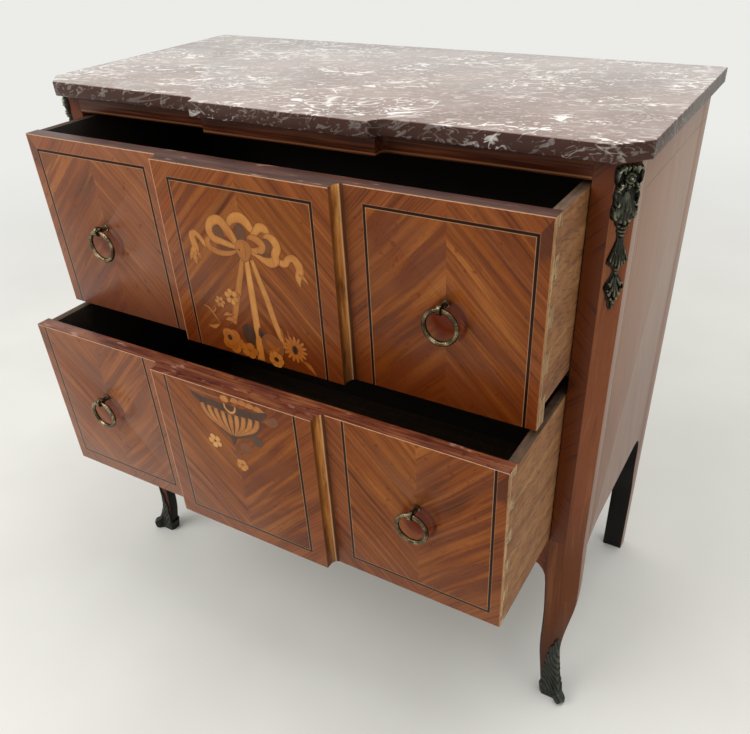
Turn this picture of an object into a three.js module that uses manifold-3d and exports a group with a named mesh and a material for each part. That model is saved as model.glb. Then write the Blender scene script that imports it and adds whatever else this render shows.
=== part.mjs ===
// A commode chest: a marble top over a breakfront carcass with two dovetailed drawers, canted
// front stiles that run down into cabriole legs, cast corner mounts, cast feet and ring handles.
// Units are millimetres. X runs to the right of someone facing the front, Y to the back and Z up.
// While pieces are placed, Y is zero on the front plane of the stiles and Z is zero on the floor.
import * as THREE from 'three';
import { mergeVertices } from 'three/addons/utils/BufferGeometryUtils.js';
import Module from 'manifold-3d';

const wasm = await Module();
wasm.setup();

// Carcass
const carcassWidth = 828;
const carcassDepth = 366;
const stileWidth = 42.7;
const stileCant = 20.2;
const sideThick = 18;
const backThick = 12;
const backBoardCount = 3;
const topBoardThick = 12;
const bottomBoardThick = 8;
const backRailDepth = 20;

// Heights, from the floor up
const apronTop = 301.5;
const apronHeight = 43.5;
const apronGap = 1.2;
const frontHeight = 244.5;
const drawerGap = 6.8;
const friezeGap = 5.5;
const friezeHeight = 23;
const railThick = 20;
const dividerHeight = 22;

// Projecting centre of the facade
const breakHalfWidth = 127.4;
const breakDepth = 17.5;
const breakCove = 9;

// Marble top
const marbleThick = 19;
const marbleFrontOverhang = 17;
const marbleSideOverhang = 11;
const marbleBackOverhang = 16;
const marbleCant = 31;
const marbleBreakMargin = 1.6;
const marbleBreakDepth = 17.5;
const marbleCove = 16.5;
const marbleArris = 1;

// Legs and the brackets beside them
const backLegWidth = 34;
const backLegDepth = 42;
const backFootDepth = 25;
const backBendMiddleShare = 0.75;
const backFootTopShare = 0.5;
const frontBracketReach = 48;
const frontBracketDrop = 40;
const sideFrontBracketReach = 52;
const sideFrontBracketDrop = 37;
const sideRearBracketReach = 44;
const sideRearBracketDrop = 52;
const bracketTuck = 12;

// Drawers
const frontThick = 20;
const frontSideGap = 1.6;
const drawerSideThick = 12;
const drawerBackThick = 12;
const drawerBottomThick = 8;
const grooveDepth = 5;
const grooveRise = 8;
const dovetailLap = 13;
const dovetailFlare = 3;
const dovetailPitch = 52;
const fewestTails = 2;
const upperLip = 25;
const upperSideDrop = 1;
const lowerSideDrop = 4;
const upperPull = 98;
const lowerPull = 172;

// Runners, guides, kickers and stops
const runnerWidth = 26;
const lowerRunnerThick = 12.7;
const guideHeight = 20;
const guideGap = 0.8;
const kickerGap = 2;
const stopThick = 8.7;
const stopWidth = 40;
const stopHeight = 28;
const stopInset = 25;

// Ring handles
const handleShift = 9;
const upperEyeRise = 130.5;
const lowerEyeRise = 148.8;
const eyeStand = 15;
const ringRadius = 20;
const ringTube = 3;
const eyeClear = 1.6;
const eyeWall = 1.9;
const eyeWidth = 4.4;
const ringSag = 1.1;
const collarRadius = 4.5;
const collarThick = 1.5;
const neckRadius = 3.1;
const shankRadius = 2.6;
const shankEnd = 2;
const nutWidth = 13;
const nutThick = 4;

// Corner mounts on the canted stiles
const chuteDrop = 5;
const chuteLength = 160;
const chuteHalfWidth = 15.5;
const chuteDepth = 13;

// Cast feet
const sabotThick = 2.2;
const sabotCollar = 20;
const sabotTip = 131;
const leafFrontReach = 30;
const leafSideReach = 14;
const leafInset = 9;
const leafDrift = 14;
const sabotWrap = 15;
const toeRadius = 10.5;
const toeReach = 2.5;
const toeWidth = 13;
const toeRounding = 12;
const toeSweepTop = 62;
const toeBossRadius = 4.5;
const toeBossThick = 1.4;

// Clearances, and the overrun that lets a cutter pass its work
const fitClear = 0.3;
const overrun = 5;

// Places worked out from the sizes above
const carcassHalf = carcassWidth / 2;
const openingHalf = carcassHalf - stileWidth;
const sideInner = carcassHalf - sideThick;
const backLegInner = carcassHalf - backLegWidth;
const backLegFront = carcassDepth - backLegDepth;
const backFront = carcassDepth - backThick;
const lowerBase = apronTop + apronGap;
const upperBase = lowerBase + frontHeight + drawerGap;
const friezeBottom = upperBase + frontHeight + friezeGap;
const carcassTop = friezeBottom + friezeHeight;
const apronBottom = apronTop - apronHeight;
const lowerRunnerTop = lowerBase - fitClear;
const lowerRunnerBottom = lowerRunnerTop - lowerRunnerThick;
const upperRunnerTop = upperBase + upperLip - fitClear;
const upperRunnerBottom = upperRunnerTop - dividerHeight;
const topBoardBottom = carcassTop - topBoardThick;
const drawerHalf = openingHalf - frontSideGap;
const drawerInner = drawerHalf - drawerSideThick;
const drawerDepth = backFront - stopThick - fitClear;
const runnerInner = openingHalf - runnerWidth;
const guideInner = drawerHalf + guideGap;
const stopOuter = runnerInner - stopInset;
const handlePlace = (breakHalfWidth + drawerHalf) / 2 + handleShift;
const sides = [['left', -1], ['right', 1]];

// Stations down the front leg, from the floor to the apron: height as a share of the apron's top,
// then how far the inner, outer, front and back faces move as shares of the stile's width, the
// cant as a share of the stile's cant, and the softened edge as a share of the stile's width
const legStationShares = [
  [0.00, 0.485, 0.140, -0.610, -1.190, 0.30, 0.07],
  [0.10, 0.390, 0.035, -0.585, -1.120, 0.42, 0.07],
  [0.20, 0.300, -0.050, -0.540, -1.070, 0.50, 0.07],
  [0.30, 0.230, -0.115, -0.550, -1.110, 0.54, 0.07],
  [0.40, 0.205, -0.090, -0.550, -1.100, 0.58, 0.07],
  [0.50, 0.200, 0.010, -0.510, -0.980, 0.68, 0.07],
  [0.60, 0.170, 0.120, -0.420, -0.770, 0.80, 0.06],
  [0.70, 0.100, 0.135, -0.300, -0.510, 0.90, 0.05],
  [0.80, 0.030, 0.080, -0.170, -0.280, 0.96, 0.03],
  [0.93, 0.000, 0.015, -0.035, -0.060, 1.00, 0.01],
  [1.00, 0.000, 0.000, 0.000, 0.000, 1.00, 0.01],
];
const legRingCount = 24;

// How finely round things are faceted
const curveSegments = 6;
const boreSides = 14;
const eyeSides = 18;
const ringSides = 28;
const tubeSides = 8;
const bossSides = 12;

// Stations down a corner mount: distance from its top as a share of its length, half width as a
// share of its half width, and relief as a share of its depth
const chuteStationShares = [
  [0.000, 0.80, 0.45],
  [0.020, 0.97, 0.85],
  [0.050, 1.00, 1.00],
  [0.085, 0.97, 0.85],
  [0.112, 0.87, 0.55],
  [0.150, 0.94, 0.70],
  [0.200, 0.97, 0.82],
  [0.275, 0.94, 0.78],
  [0.338, 0.92, 0.62],
  [0.375, 0.64, 0.45],
  [0.412, 0.38, 0.34],
  [0.450, 0.30, 0.30],
  [0.494, 0.33, 0.34],
  [0.530, 0.46, 0.44],
  [0.580, 0.66, 0.56],
  [0.630, 0.79, 0.62],
  [0.650, 0.78, 0.56],
  [0.682, 0.50, 0.38],
  [0.712, 0.29, 0.30],
  [0.740, 0.33, 0.34],
  [0.790, 0.60, 0.50],
  [0.838, 0.73, 0.58],
  [0.868, 0.60, 0.48],
  [0.912, 0.44, 0.40],
  [0.950, 0.28, 0.30],
  [0.980, 0.19, 0.22],
  [1.000, 0.06, 0.10],
];
// Across a corner mount: place as a share of the half width and relief as a share of the depth,
// with a sunk flute on each side of the middle rib
const chuteAcrossShares = [
  [-1.00, 0.30],
  [-0.78, 0.74],
  [-0.45, 0.70],
  [-0.22, 0.92],
  [0.00, 1.00],
  [0.22, 0.92],
  [0.45, 0.70],
  [0.78, 0.74],
  [1.00, 0.30],
];
// The cast leaf's edge on one face of the foot: place as a share of its reach from the foot's
// corner, and height as a share of the way from the collar to the tip
const leafShares = [
  [1.00, 0.00],
  [1.00, 0.20],
  [0.93, 0.25],
  [0.99, 0.34],
  [0.96, 0.45],
  [0.86, 0.48],
  [0.92, 0.60],
  [0.87, 0.68],
  [0.76, 0.70],
  [0.80, 0.79],
  [0.70, 0.86],
  [0.58, 0.87],
  [0.56, 0.94],
  [0.42, 1.00],
];

// Materials
const finish = (color, roughness, metalness) =>
  new THREE.MeshStandardMaterial({ color, roughness, metalness });
const marbleFinish = finish(0xa98f86, 0.25, 0);
const veneerFinish = finish(0x7c3a1e, 0.3, 0);
const railFinish = finish(0x4a1c14, 0.35, 0);
const sideVeneerFinish = finish(0x96553a, 0.3, 0);
const plainWoodFinish = finish(0xb09068, 0.8, 0);
const drawerWoodFinish = finish(0xc9ab84, 0.85, 0);
const bronzeFinish = finish(0x3b4034, 0.45, 0.8);
const steelFinish = finish(0x8c8478, 0.35, 0.9);

// Placing of flat outlines: a plan is drawn in X and Y, a side view in Y and Z, a front view in
// X and Z
const axisX = new THREE.Vector3(1, 0, 0);
const axisY = new THREE.Vector3(0, 1, 0);
const axisZ = new THREE.Vector3(0, 0, 1);
const sideView = new THREE.Matrix4().makeBasis(axisY, axisZ, axisX);
const frontView = new THREE.Matrix4().makeBasis(axisX, axisZ, axisY.clone().negate());

const chest = new THREE.Group();

function add(name, geometry, material, group = chest) {
  const mesh = new THREE.Mesh(geometry, material);
  mesh.name = name;
  group.add(mesh);
  return mesh;
}

function box(x0, x1, y0, y1, z0, z1) {
  const geometry = new THREE.BoxGeometry(Math.abs(x1 - x0), y1 - y0, z1 - z0);
  geometry.translate((x0 + x1) / 2, (y0 + y1) / 2, (z0 + z1) / 2);
  return geometry;
}

function extrude(shape, depth) {
  return new THREE.ExtrudeGeometry(shape, { depth, bevelEnabled: false, curveSegments });
}

function fromPlan(shape, z0, z1) {
  return extrude(shape, z1 - z0).translate(0, 0, z0);
}

function fromSide(shape, x0, x1) {
  const start = Math.min(x0, x1);
  return extrude(shape, Math.abs(x1 - x0)).applyMatrix4(sideView).translate(start, 0, 0);
}

function fromFront(shape, y0, y1) {
  return extrude(shape, y1 - y0).applyMatrix4(frontView).translate(0, y1, 0);
}

function polygon(points) {
  return new THREE.Shape(points.map(([x, y]) => new THREE.Vector2(x, y)));
}

// A body through rings of points, each ring running anticlockwise seen from the last one
function loft(rings) {
  const count = rings[0].length;
  const last = (rings.length - 1) * count;
  const index = [];
  for (let ring = 0; ring < rings.length - 1; ring += 1) {
    for (let i = 0; i < count; i += 1) {
      const a = ring * count + i;
      const b = ring * count + ((i + 1) % count);
      index.push(a, b, b + count, a, b + count, a + count);
    }
  }
  for (let i = 1; i < count - 1; i += 1) {
    index.push(0, i + 1, i, last, last + i, last + i + 1);
  }
  const geometry = new THREE.BufferGeometry();
  const positions = rings.flat().flatMap((point) => point.toArray());
  geometry.setAttribute('position', new THREE.Float32BufferAttribute(positions, 3));
  geometry.setIndex(index);
  geometry.computeVertexNormals();
  return geometry;
}

function solid(geometry) {
  const bare = geometry.clone();
  bare.deleteAttribute('normal');
  bare.deleteAttribute('uv');
  const merged = mergeVertices(bare);
  const corners = merged.index.array;
  const kept = [];
  for (let i = 0; i < corners.length; i += 3) {
    const [a, b, c] = [corners[i], corners[i + 1], corners[i + 2]];
    if (a !== b && b !== c && c !== a) {
      kept.push(a, b, c);
    }
  }
  const vertProperties = Float32Array.from(merged.getAttribute('position').array);
  const triVerts = Uint32Array.from(kept);
  return new wasm.Manifold(new wasm.Mesh({ numProp: 3, vertProperties, triVerts }));
}

function shell(body) {
  const mesh = body.getMesh();
  const geometry = new THREE.BufferGeometry();
  geometry.setAttribute('position', new THREE.BufferAttribute(mesh.vertProperties, mesh.numProp));
  geometry.setIndex(new THREE.BufferAttribute(mesh.triVerts, 1));
  const faceted = geometry.toNonIndexed();
  faceted.computeVertexNormals();
  return faceted;
}

function cut(geometry, ...tools) {
  return shell(tools.reduce((body, tool) => body.subtract(solid(tool)), solid(geometry)));
}

// The same piece for the other side of the chest, with its faces still pointing out
function mirrored(geometry) {
  const faceted = geometry.index ? geometry.toNonIndexed() : geometry.clone();
  faceted.scale(-1, 1, 1);
  const position = faceted.getAttribute('position');
  const [b, c] = [new THREE.Vector3(), new THREE.Vector3()];
  for (let i = 0; i < position.count; i += 3) {
    b.fromBufferAttribute(position, i + 1);
    c.fromBufferAttribute(position, i + 2);
    position.setXYZ(i + 1, ...c.toArray());
    position.setXYZ(i + 2, ...b.toArray());
  }
  faceted.computeVertexNormals();
  return faceted;
}

function addPair(name, rightGeometry, material) {
  add(`${name}_right`, rightGeometry, material);
  add(`${name}_left`, mirrored(rightGeometry), material);
}

// Plan of a board whose middle projects, with a concave cove in each inner corner of the step
function breakfront({ halfWidth, front, back, blockHalf, projection, cove, cant }) {
  const shape = new THREE.Shape();
  const blockFront = front - projection;
  const coveFront = front - cove;
  shape.moveTo(-halfWidth + cant, front);
  shape.lineTo(-blockHalf - cove, front);
  shape.absarc(-blockHalf - cove, coveFront, cove, Math.PI / 2, 0, true);
  shape.lineTo(-blockHalf, blockFront);
  shape.lineTo(blockHalf, blockFront);
  shape.lineTo(blockHalf, coveFront);
  shape.absarc(blockHalf + cove, coveFront, cove, Math.PI, Math.PI / 2, true);
  shape.lineTo(halfWidth - cant, front);
  if (cant > 0) {
    shape.lineTo(halfWidth, front + cant);
  }
  shape.lineTo(halfWidth, back);
  shape.lineTo(-halfWidth, back);
  if (cant > 0) {
    shape.lineTo(-halfWidth, front + cant);
  }
  shape.closePath();
  return shape;
}

// Section of the front leg at one height, grown outwards where a neighbour is cut to fit it
function legSection([inner, outer, front, back, cantShare, edgeShare], height, grow) {
  const x0 = openingHalf + Math.max(inner, 0) * stileWidth - grow;
  const x1 = carcassHalf + outer * stileWidth + grow;
  const y0 = front * stileWidth - grow;
  const y1 = stileWidth + Math.min(back, 0) * stileWidth + grow;
  const corner = (2 - Math.SQRT2) * grow;
  const cant = cantShare * stileCant + corner;
  const edge = edgeShare * stileWidth + corner;
  return [
    [x0 + edge, y0],
    [x1 - cant, y0],
    [x1, y0 + cant],
    [x1, y1 - edge],
    [x1 - edge, y1],
    [x0 + edge, y1],
    [x0, y1 - edge],
    [x0, y0 + edge],
  ].map(([x, y]) => new THREE.Vector3(x, y, height));
}

function legStationAt(share) {
  const width = legStationShares[0].length - 1;
  const heights = legStationShares.map((row) => row[0]);
  const values = legStationShares.flatMap((row) => row.slice(1));
  return new THREE.CubicInterpolant(heights, values, width).evaluate(share);
}

function frontLeg(grow = 0) {
  const rings = [];
  const below = grow > 0 ? -overrun : 0;
  if (below < 0) {
    rings.push(legSection(legStationAt(0), below, grow));
  }
  for (let i = 0; i <= legRingCount; i += 1) {
    const share = i / legRingCount;
    rings.push(legSection(legStationAt(share), share * apronTop, grow));
  }
  rings.push(legSection(legStationAt(1), carcassTop - below, grow));
  return loft(rings);
}

function addCarcass() {
  addPair('front_leg', frontLeg(), veneerFinish);

  const backLeg = new THREE.Shape();
  const bendTop = lowerRunnerBottom - sideRearBracketDrop;
  const bendMiddle = bendTop * backBendMiddleShare;
  const footTop = bendTop * backFootTopShare;
  const footFront = carcassDepth - backFootDepth;
  backLeg.moveTo(carcassDepth, 0);
  backLeg.lineTo(carcassDepth, carcassTop);
  backLeg.lineTo(backLegFront, carcassTop);
  backLeg.lineTo(backLegFront, bendTop);
  backLeg.bezierCurveTo(backLegFront, bendMiddle, footFront, bendMiddle, footFront, footTop);
  backLeg.lineTo(footFront, 0);
  backLeg.closePath();
  addPair('back_leg', fromSide(backLeg, backLegInner, carcassHalf), sideVeneerFinish);

  const panel = new THREE.Shape();
  const tucked = stileWidth - bracketTuck;
  const frontFoot = lowerRunnerBottom - sideFrontBracketDrop;
  panel.moveTo(tucked, carcassTop);
  panel.lineTo(tucked, frontFoot);
  const frontReach = stileWidth + sideFrontBracketReach;
  panel.quadraticCurveTo(stileWidth, lowerRunnerBottom, frontReach, lowerRunnerBottom);
  panel.lineTo(backLegFront - sideRearBracketReach, lowerRunnerBottom);
  panel.quadraticCurveTo(backLegFront, lowerRunnerBottom, backLegFront, bendTop);
  panel.lineTo(backLegFront, carcassTop);
  panel.closePath();
  const panelGeometry = cut(fromSide(panel, sideInner, carcassHalf), frontLeg(fitClear));
  addPair('side_panel', panelGeometry, sideVeneerFinish);

  const frame = {
    halfWidth: openingHalf,
    front: 0,
    back: railThick,
    blockHalf: breakHalfWidth,
    projection: breakDepth,
    cove: breakCove,
    cant: 0,
  };
  add('frieze_rail', fromPlan(breakfront(frame), friezeBottom, carcassTop), railFinish);
  const apron = cut(
    fromPlan(breakfront(frame), apronBottom, apronTop),
    frontLeg(fitClear), mirrored(frontLeg(fitClear)),
  );
  add('apron', apron, veneerFinish);

  const bracket = new THREE.Shape();
  const bracketEnd = openingHalf + bracketTuck;
  bracket.moveTo(bracketEnd, apronBottom);
  bracket.lineTo(openingHalf - frontBracketReach, apronBottom);
  bracket.quadraticCurveTo(openingHalf, apronBottom, openingHalf, apronBottom - frontBracketDrop);
  bracket.lineTo(bracketEnd, apronBottom - frontBracketDrop);
  bracket.closePath();
  addPair('front_bracket', cut(fromFront(bracket, 0, railThick), frontLeg(fitClear)), veneerFinish);

  const dividerFront = frontThick + guideGap;
  const divider = box(
    -openingHalf, openingHalf, dividerFront, stileWidth, upperRunnerBottom, upperRunnerTop,
  );
  add('dividing_rail', divider, plainWoodFinish);
  const backRailFront = backFront - backRailDepth;
  const backRail = box(
    -backLegInner, backLegInner, backRailFront, backFront, friezeBottom, carcassTop,
  );
  add('back_rail', backRail, plainWoodFinish);

  const topBoard = polygon([
    [-openingHalf, railThick],
    [openingHalf, railThick],
    [openingHalf, stileWidth],
    [sideInner, stileWidth],
    [sideInner, backLegFront],
    [backLegInner, backLegFront],
    [backLegInner, backRailFront],
    [-backLegInner, backRailFront],
    [-backLegInner, backLegFront],
    [-sideInner, backLegFront],
    [-sideInner, stileWidth],
    [-openingHalf, stileWidth],
  ]);
  add('top_board', fromPlan(topBoard, topBoardBottom, carcassTop), plainWoodFinish);
  const bottomBoard = polygon([
    [-openingHalf, railThick],
    [openingHalf, railThick],
    [openingHalf, stileWidth],
    [runnerInner, stileWidth],
    [runnerInner, backFront],
    [-runnerInner, backFront],
    [-runnerInner, stileWidth],
    [-openingHalf, stileWidth],
  ]);
  const bottomBoardTop = lowerRunnerBottom + bottomBoardThick;
  add('bottom_board', fromPlan(bottomBoard, lowerRunnerBottom, bottomBoardTop), plainWoodFinish);

  const boardWidth = (2 * backLegInner) / backBoardCount;
  for (let i = 0; i < backBoardCount; i += 1) {
    const start = -backLegInner + i * boardWidth;
    const end = start + boardWidth;
    const board = box(start, end, backFront, carcassDepth, lowerRunnerBottom, carcassTop);
    add(`back_board_${i + 1}`, board, plainWoodFinish);
  }

  const levels = [
    ['upper', upperRunnerBottom, upperRunnerTop],
    ['lower', lowerRunnerBottom, lowerRunnerTop],
  ];
  const kickerBottom = upperBase + frontHeight - upperSideDrop + kickerGap;
  for (const [side, sign] of sides) {
    for (const [level, bottom, top] of levels) {
      const runner = box(
        sign * runnerInner, sign * sideInner, stileWidth, backLegFront, bottom, top,
      );
      add(`runner_${level}_${side}`, runner, plainWoodFinish);
      const guide = box(
        sign * guideInner, sign * sideInner, stileWidth, backLegFront, top, top + guideHeight,
      );
      add(`guide_${level}_${side}`, guide, plainWoodFinish);
    }
    const kicker = box(
      sign * runnerInner, sign * sideInner, stileWidth, backLegFront, kickerBottom, topBoardBottom,
    );
    add(`kicker_${side}`, kicker, plainWoodFinish);
    const stopInner = stopOuter - stopWidth;
    const stopTop = bottomBoardTop + stopHeight;
    const stop = box(
      sign * stopInner, sign * stopOuter, backFront - stopThick, backFront, bottomBoardTop, stopTop,
    );
    add(`stop_${side}`, stop, plainWoodFinish);
  }
}

function addMarble() {
  const plan = breakfront({
    halfWidth: carcassHalf + marbleSideOverhang,
    front: -marbleFrontOverhang,
    back: carcassDepth + marbleBackOverhang,
    blockHalf: breakHalfWidth + marbleBreakMargin,
    projection: marbleBreakDepth,
    cove: marbleCove,
    cant: marbleCant,
  });
  const slab = new THREE.ExtrudeGeometry(plan, {
    depth: marbleThick - 2 * marbleArris,
    bevelThickness: marbleArris,
    bevelSize: marbleArris,
    bevelOffset: -marbleArris,
    bevelSegments: 1,
    curveSegments,
  });
  slab.translate(0, 0, carcassTop + marbleArris);
  add('marble_top', slab, marbleFinish);
}

// Heights of the tails' middles between two heights, spread evenly
function tailMiddles(bottom, top) {
  const count = Math.max(fewestTails, Math.round((top - bottom) / dovetailPitch));
  const pitch = (top - bottom) / count;
  return Array.from({ length: count }, (_, i) => bottom + (i + 0.5) * pitch);
}

const tailHalf = dovetailPitch / 4;

// A tail in the side view, from its root to its tip, grown where its socket is cut
function tailOutline(root, tip, middle, grow) {
  const reach = Math.sign(tip - root);
  return polygon([
    [root - reach * overrun, middle - tailHalf - grow],
    [root, middle - tailHalf - grow],
    [tip + reach * grow, middle - tailHalf - dovetailFlare - grow],
    [tip + reach * grow, middle + tailHalf + dovetailFlare + grow],
    [root, middle + tailHalf + grow],
    [root - reach * overrun, middle + tailHalf + grow],
  ]);
}

function addHandle(name, sign, eyeHeight, group) {
  const handle = new THREE.Group();
  handle.position.set(sign * handlePlace, 0, eyeHeight + ringSag);
  group.add(handle);

  const eyeInner = ringTube + eyeClear;
  const eyeOuter = eyeInner + eyeWall;
  const shankLength = frontThick + nutThick + shankEnd;
  const neckEnd = -(eyeStand - eyeOuter + eyeWall / 2);
  const profile = [
    [0, neckEnd],
    [neckRadius, neckEnd],
    [neckRadius, -collarThick],
    [collarRadius, -collarThick],
    [collarRadius, 0],
    [shankRadius, 0],
    [shankRadius, shankLength],
    [0, shankLength],
  ].map(([radius, depth]) => new THREE.Vector2(radius, depth));
  const post = new THREE.LatheGeometry(profile, boreSides);
  const band = new THREE.CylinderGeometry(eyeOuter, eyeOuter, eyeWidth, eyeSides);
  band.rotateZ(Math.PI / 2).translate(0, -eyeStand, 0);
  const hole = new THREE.CylinderGeometry(eyeInner, eyeInner, eyeWidth + overrun, eyeSides);
  hole.rotateZ(Math.PI / 2).translate(0, -eyeStand, 0);
  add(`post_${name}`, shell(solid(post).add(solid(band)).subtract(solid(hole))), bronzeFinish, handle);

  const ring = new THREE.TorusGeometry(ringRadius, ringTube, tubeSides, ringSides);
  ring.rotateX(Math.PI / 2).translate(0, -eyeStand, -ringRadius - ringSag);
  add(`ring_${name}`, ring, steelFinish, handle);

  const nutHalf = nutWidth / 2;
  const nutShape = polygon([
    [-nutHalf, -nutHalf],
    [nutHalf, -nutHalf],
    [nutHalf, nutHalf],
    [-nutHalf, nutHalf],
  ]);
  const nutHole = new THREE.Path();
  nutHole.absarc(0, 0, shankRadius + fitClear, 0, 2 * Math.PI, true);
  nutShape.holes.push(nutHole);
  add(`nut_${name}`, fromFront(nutShape, frontThick, frontThick + nutThick), steelFinish, handle);
}

// A drawer in its own frame: Y is zero on the plane of its side sections, Z at its front's bottom
function addDrawer(name, { base, pull, lip, sideDrop, eyeRise }) {
  const group = new THREE.Group();
  group.position.set(0, -pull, base);
  chest.add(group);

  const sideTop = frontHeight - sideDrop;
  const grooveBottom = lip + grooveRise;
  const bottomTop = grooveBottom + drawerBottomThick;
  const backInner = drawerDepth - drawerBackThick;
  const backBottom = bottomTop + fitClear;
  const frontTip = frontThick - dovetailLap;
  const frontTails = tailMiddles(lip, sideTop);
  const backTails = tailMiddles(backBottom, sideTop);

  const sideBoard = new THREE.Shape();
  sideBoard.moveTo(frontThick, lip);
  sideBoard.lineTo(drawerDepth, lip);
  sideBoard.lineTo(drawerDepth, bottomTop);
  sideBoard.lineTo(backInner, bottomTop);
  for (const middle of backTails) {
    sideBoard.lineTo(backInner, middle - tailHalf);
    sideBoard.lineTo(drawerDepth, middle - tailHalf - dovetailFlare);
    sideBoard.lineTo(drawerDepth, middle + tailHalf + dovetailFlare);
    sideBoard.lineTo(backInner, middle + tailHalf);
  }
  sideBoard.lineTo(backInner, sideTop);
  sideBoard.lineTo(frontThick, sideTop);
  for (const middle of [...frontTails].reverse()) {
    sideBoard.lineTo(frontThick, middle + tailHalf);
    sideBoard.lineTo(frontTip, middle + tailHalf + dovetailFlare);
    sideBoard.lineTo(frontTip, middle - tailHalf - dovetailFlare);
    sideBoard.lineTo(frontThick, middle - tailHalf);
  }
  sideBoard.closePath();

  // The grooves hold the bottom on three sides; it slides in under the back
  const grooveReach = drawerInner + grooveDepth;
  const groove = box(
    -grooveReach, grooveReach,
    frontThick - grooveDepth, drawerDepth + overrun,
    grooveBottom - fitClear, bottomTop + fitClear,
  );
  const sideGroove = box(
    -grooveReach, grooveReach,
    frontTip - overrun, drawerDepth + overrun,
    grooveBottom - fitClear, bottomTop + fitClear,
  );
  for (const [side, sign] of sides) {
    const board = fromSide(sideBoard, sign * drawerInner, sign * drawerHalf);
    add(`drawer_${name}_side_${side}`, cut(board, sideGroove), drawerWoodFinish, group);
  }

  const socketInner = drawerInner - fitClear;
  const socketOuter = drawerHalf + overrun;
  const sockets = (tails, root, tip) => tails.flatMap((middle) => sides.map(([, sign]) => {
    const outline = tailOutline(root, tip, middle, fitClear);
    return fromSide(outline, sign * socketInner, sign * socketOuter);
  }));
  const holes = sides.map(([, sign]) => {
    const holeRadius = shankRadius + fitClear;
    const holeLength = frontThick + 2 * overrun;
    const hole = new THREE.CylinderGeometry(holeRadius, holeRadius, holeLength, boreSides);
    return hole.translate(sign * handlePlace, frontThick / 2, eyeRise + ringSag);
  });
  const plan = breakfront({
    halfWidth: drawerHalf,
    front: 0,
    back: frontThick,
    blockHalf: breakHalfWidth,
    projection: breakDepth,
    cove: breakCove,
    cant: 0,
  });
  const front = cut(
    fromPlan(plan, 0, frontHeight), groove, ...sockets(frontTails, frontThick, frontTip), ...holes,
  );
  add(`drawer_${name}_front`, front, veneerFinish, group);

  const back = cut(
    box(-drawerHalf, drawerHalf, backInner, drawerDepth, backBottom, sideTop),
    ...sockets(backTails, backInner, drawerDepth),
  );
  add(`drawer_${name}_back`, back, drawerWoodFinish, group);

  const bottom = box(
    -(grooveReach - fitClear), grooveReach - fitClear,
    frontThick - grooveDepth + fitClear, drawerDepth,
    grooveBottom, bottomTop,
  );
  add(`drawer_${name}_bottom`, bottom, drawerWoodFinish, group);

  for (const [side, sign] of sides) {
    addHandle(`${name}_${side}`, sign, eyeRise, group);
  }
}

// A cast corner mount: a scrolled head, a fluted body and two husks that run down to a tip
function addChutes() {
  const rings = chuteStationShares.map(([downShare, widthShare, reliefShare]) => {
    const height = -downShare * chuteLength;
    const halfWidth = widthShare * chuteHalfWidth;
    const relief = reliefShare * chuteDepth;
    const backEdge = [[halfWidth, 0], [-halfWidth, 0]];
    const face = chuteAcrossShares.map(([across, out]) => [across * halfWidth, -out * relief]);
    return [...face, ...backEdge].map(([x, y]) => new THREE.Vector3(x, y, height));
  });
  const geometry = loft(rings.reverse());
  for (const [side, sign] of sides) {
    const mesh = add(`chute_${side}`, geometry, bronzeFinish);
    const place = carcassHalf - stileCant / 2 + fitClear * Math.SQRT1_2;
    mesh.position.set(sign * place, stileCant / 2 - fitClear * Math.SQRT1_2, carcassTop - chuteDrop);
    mesh.rotation.z = sign * Math.PI / 4;
  }
}

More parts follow.
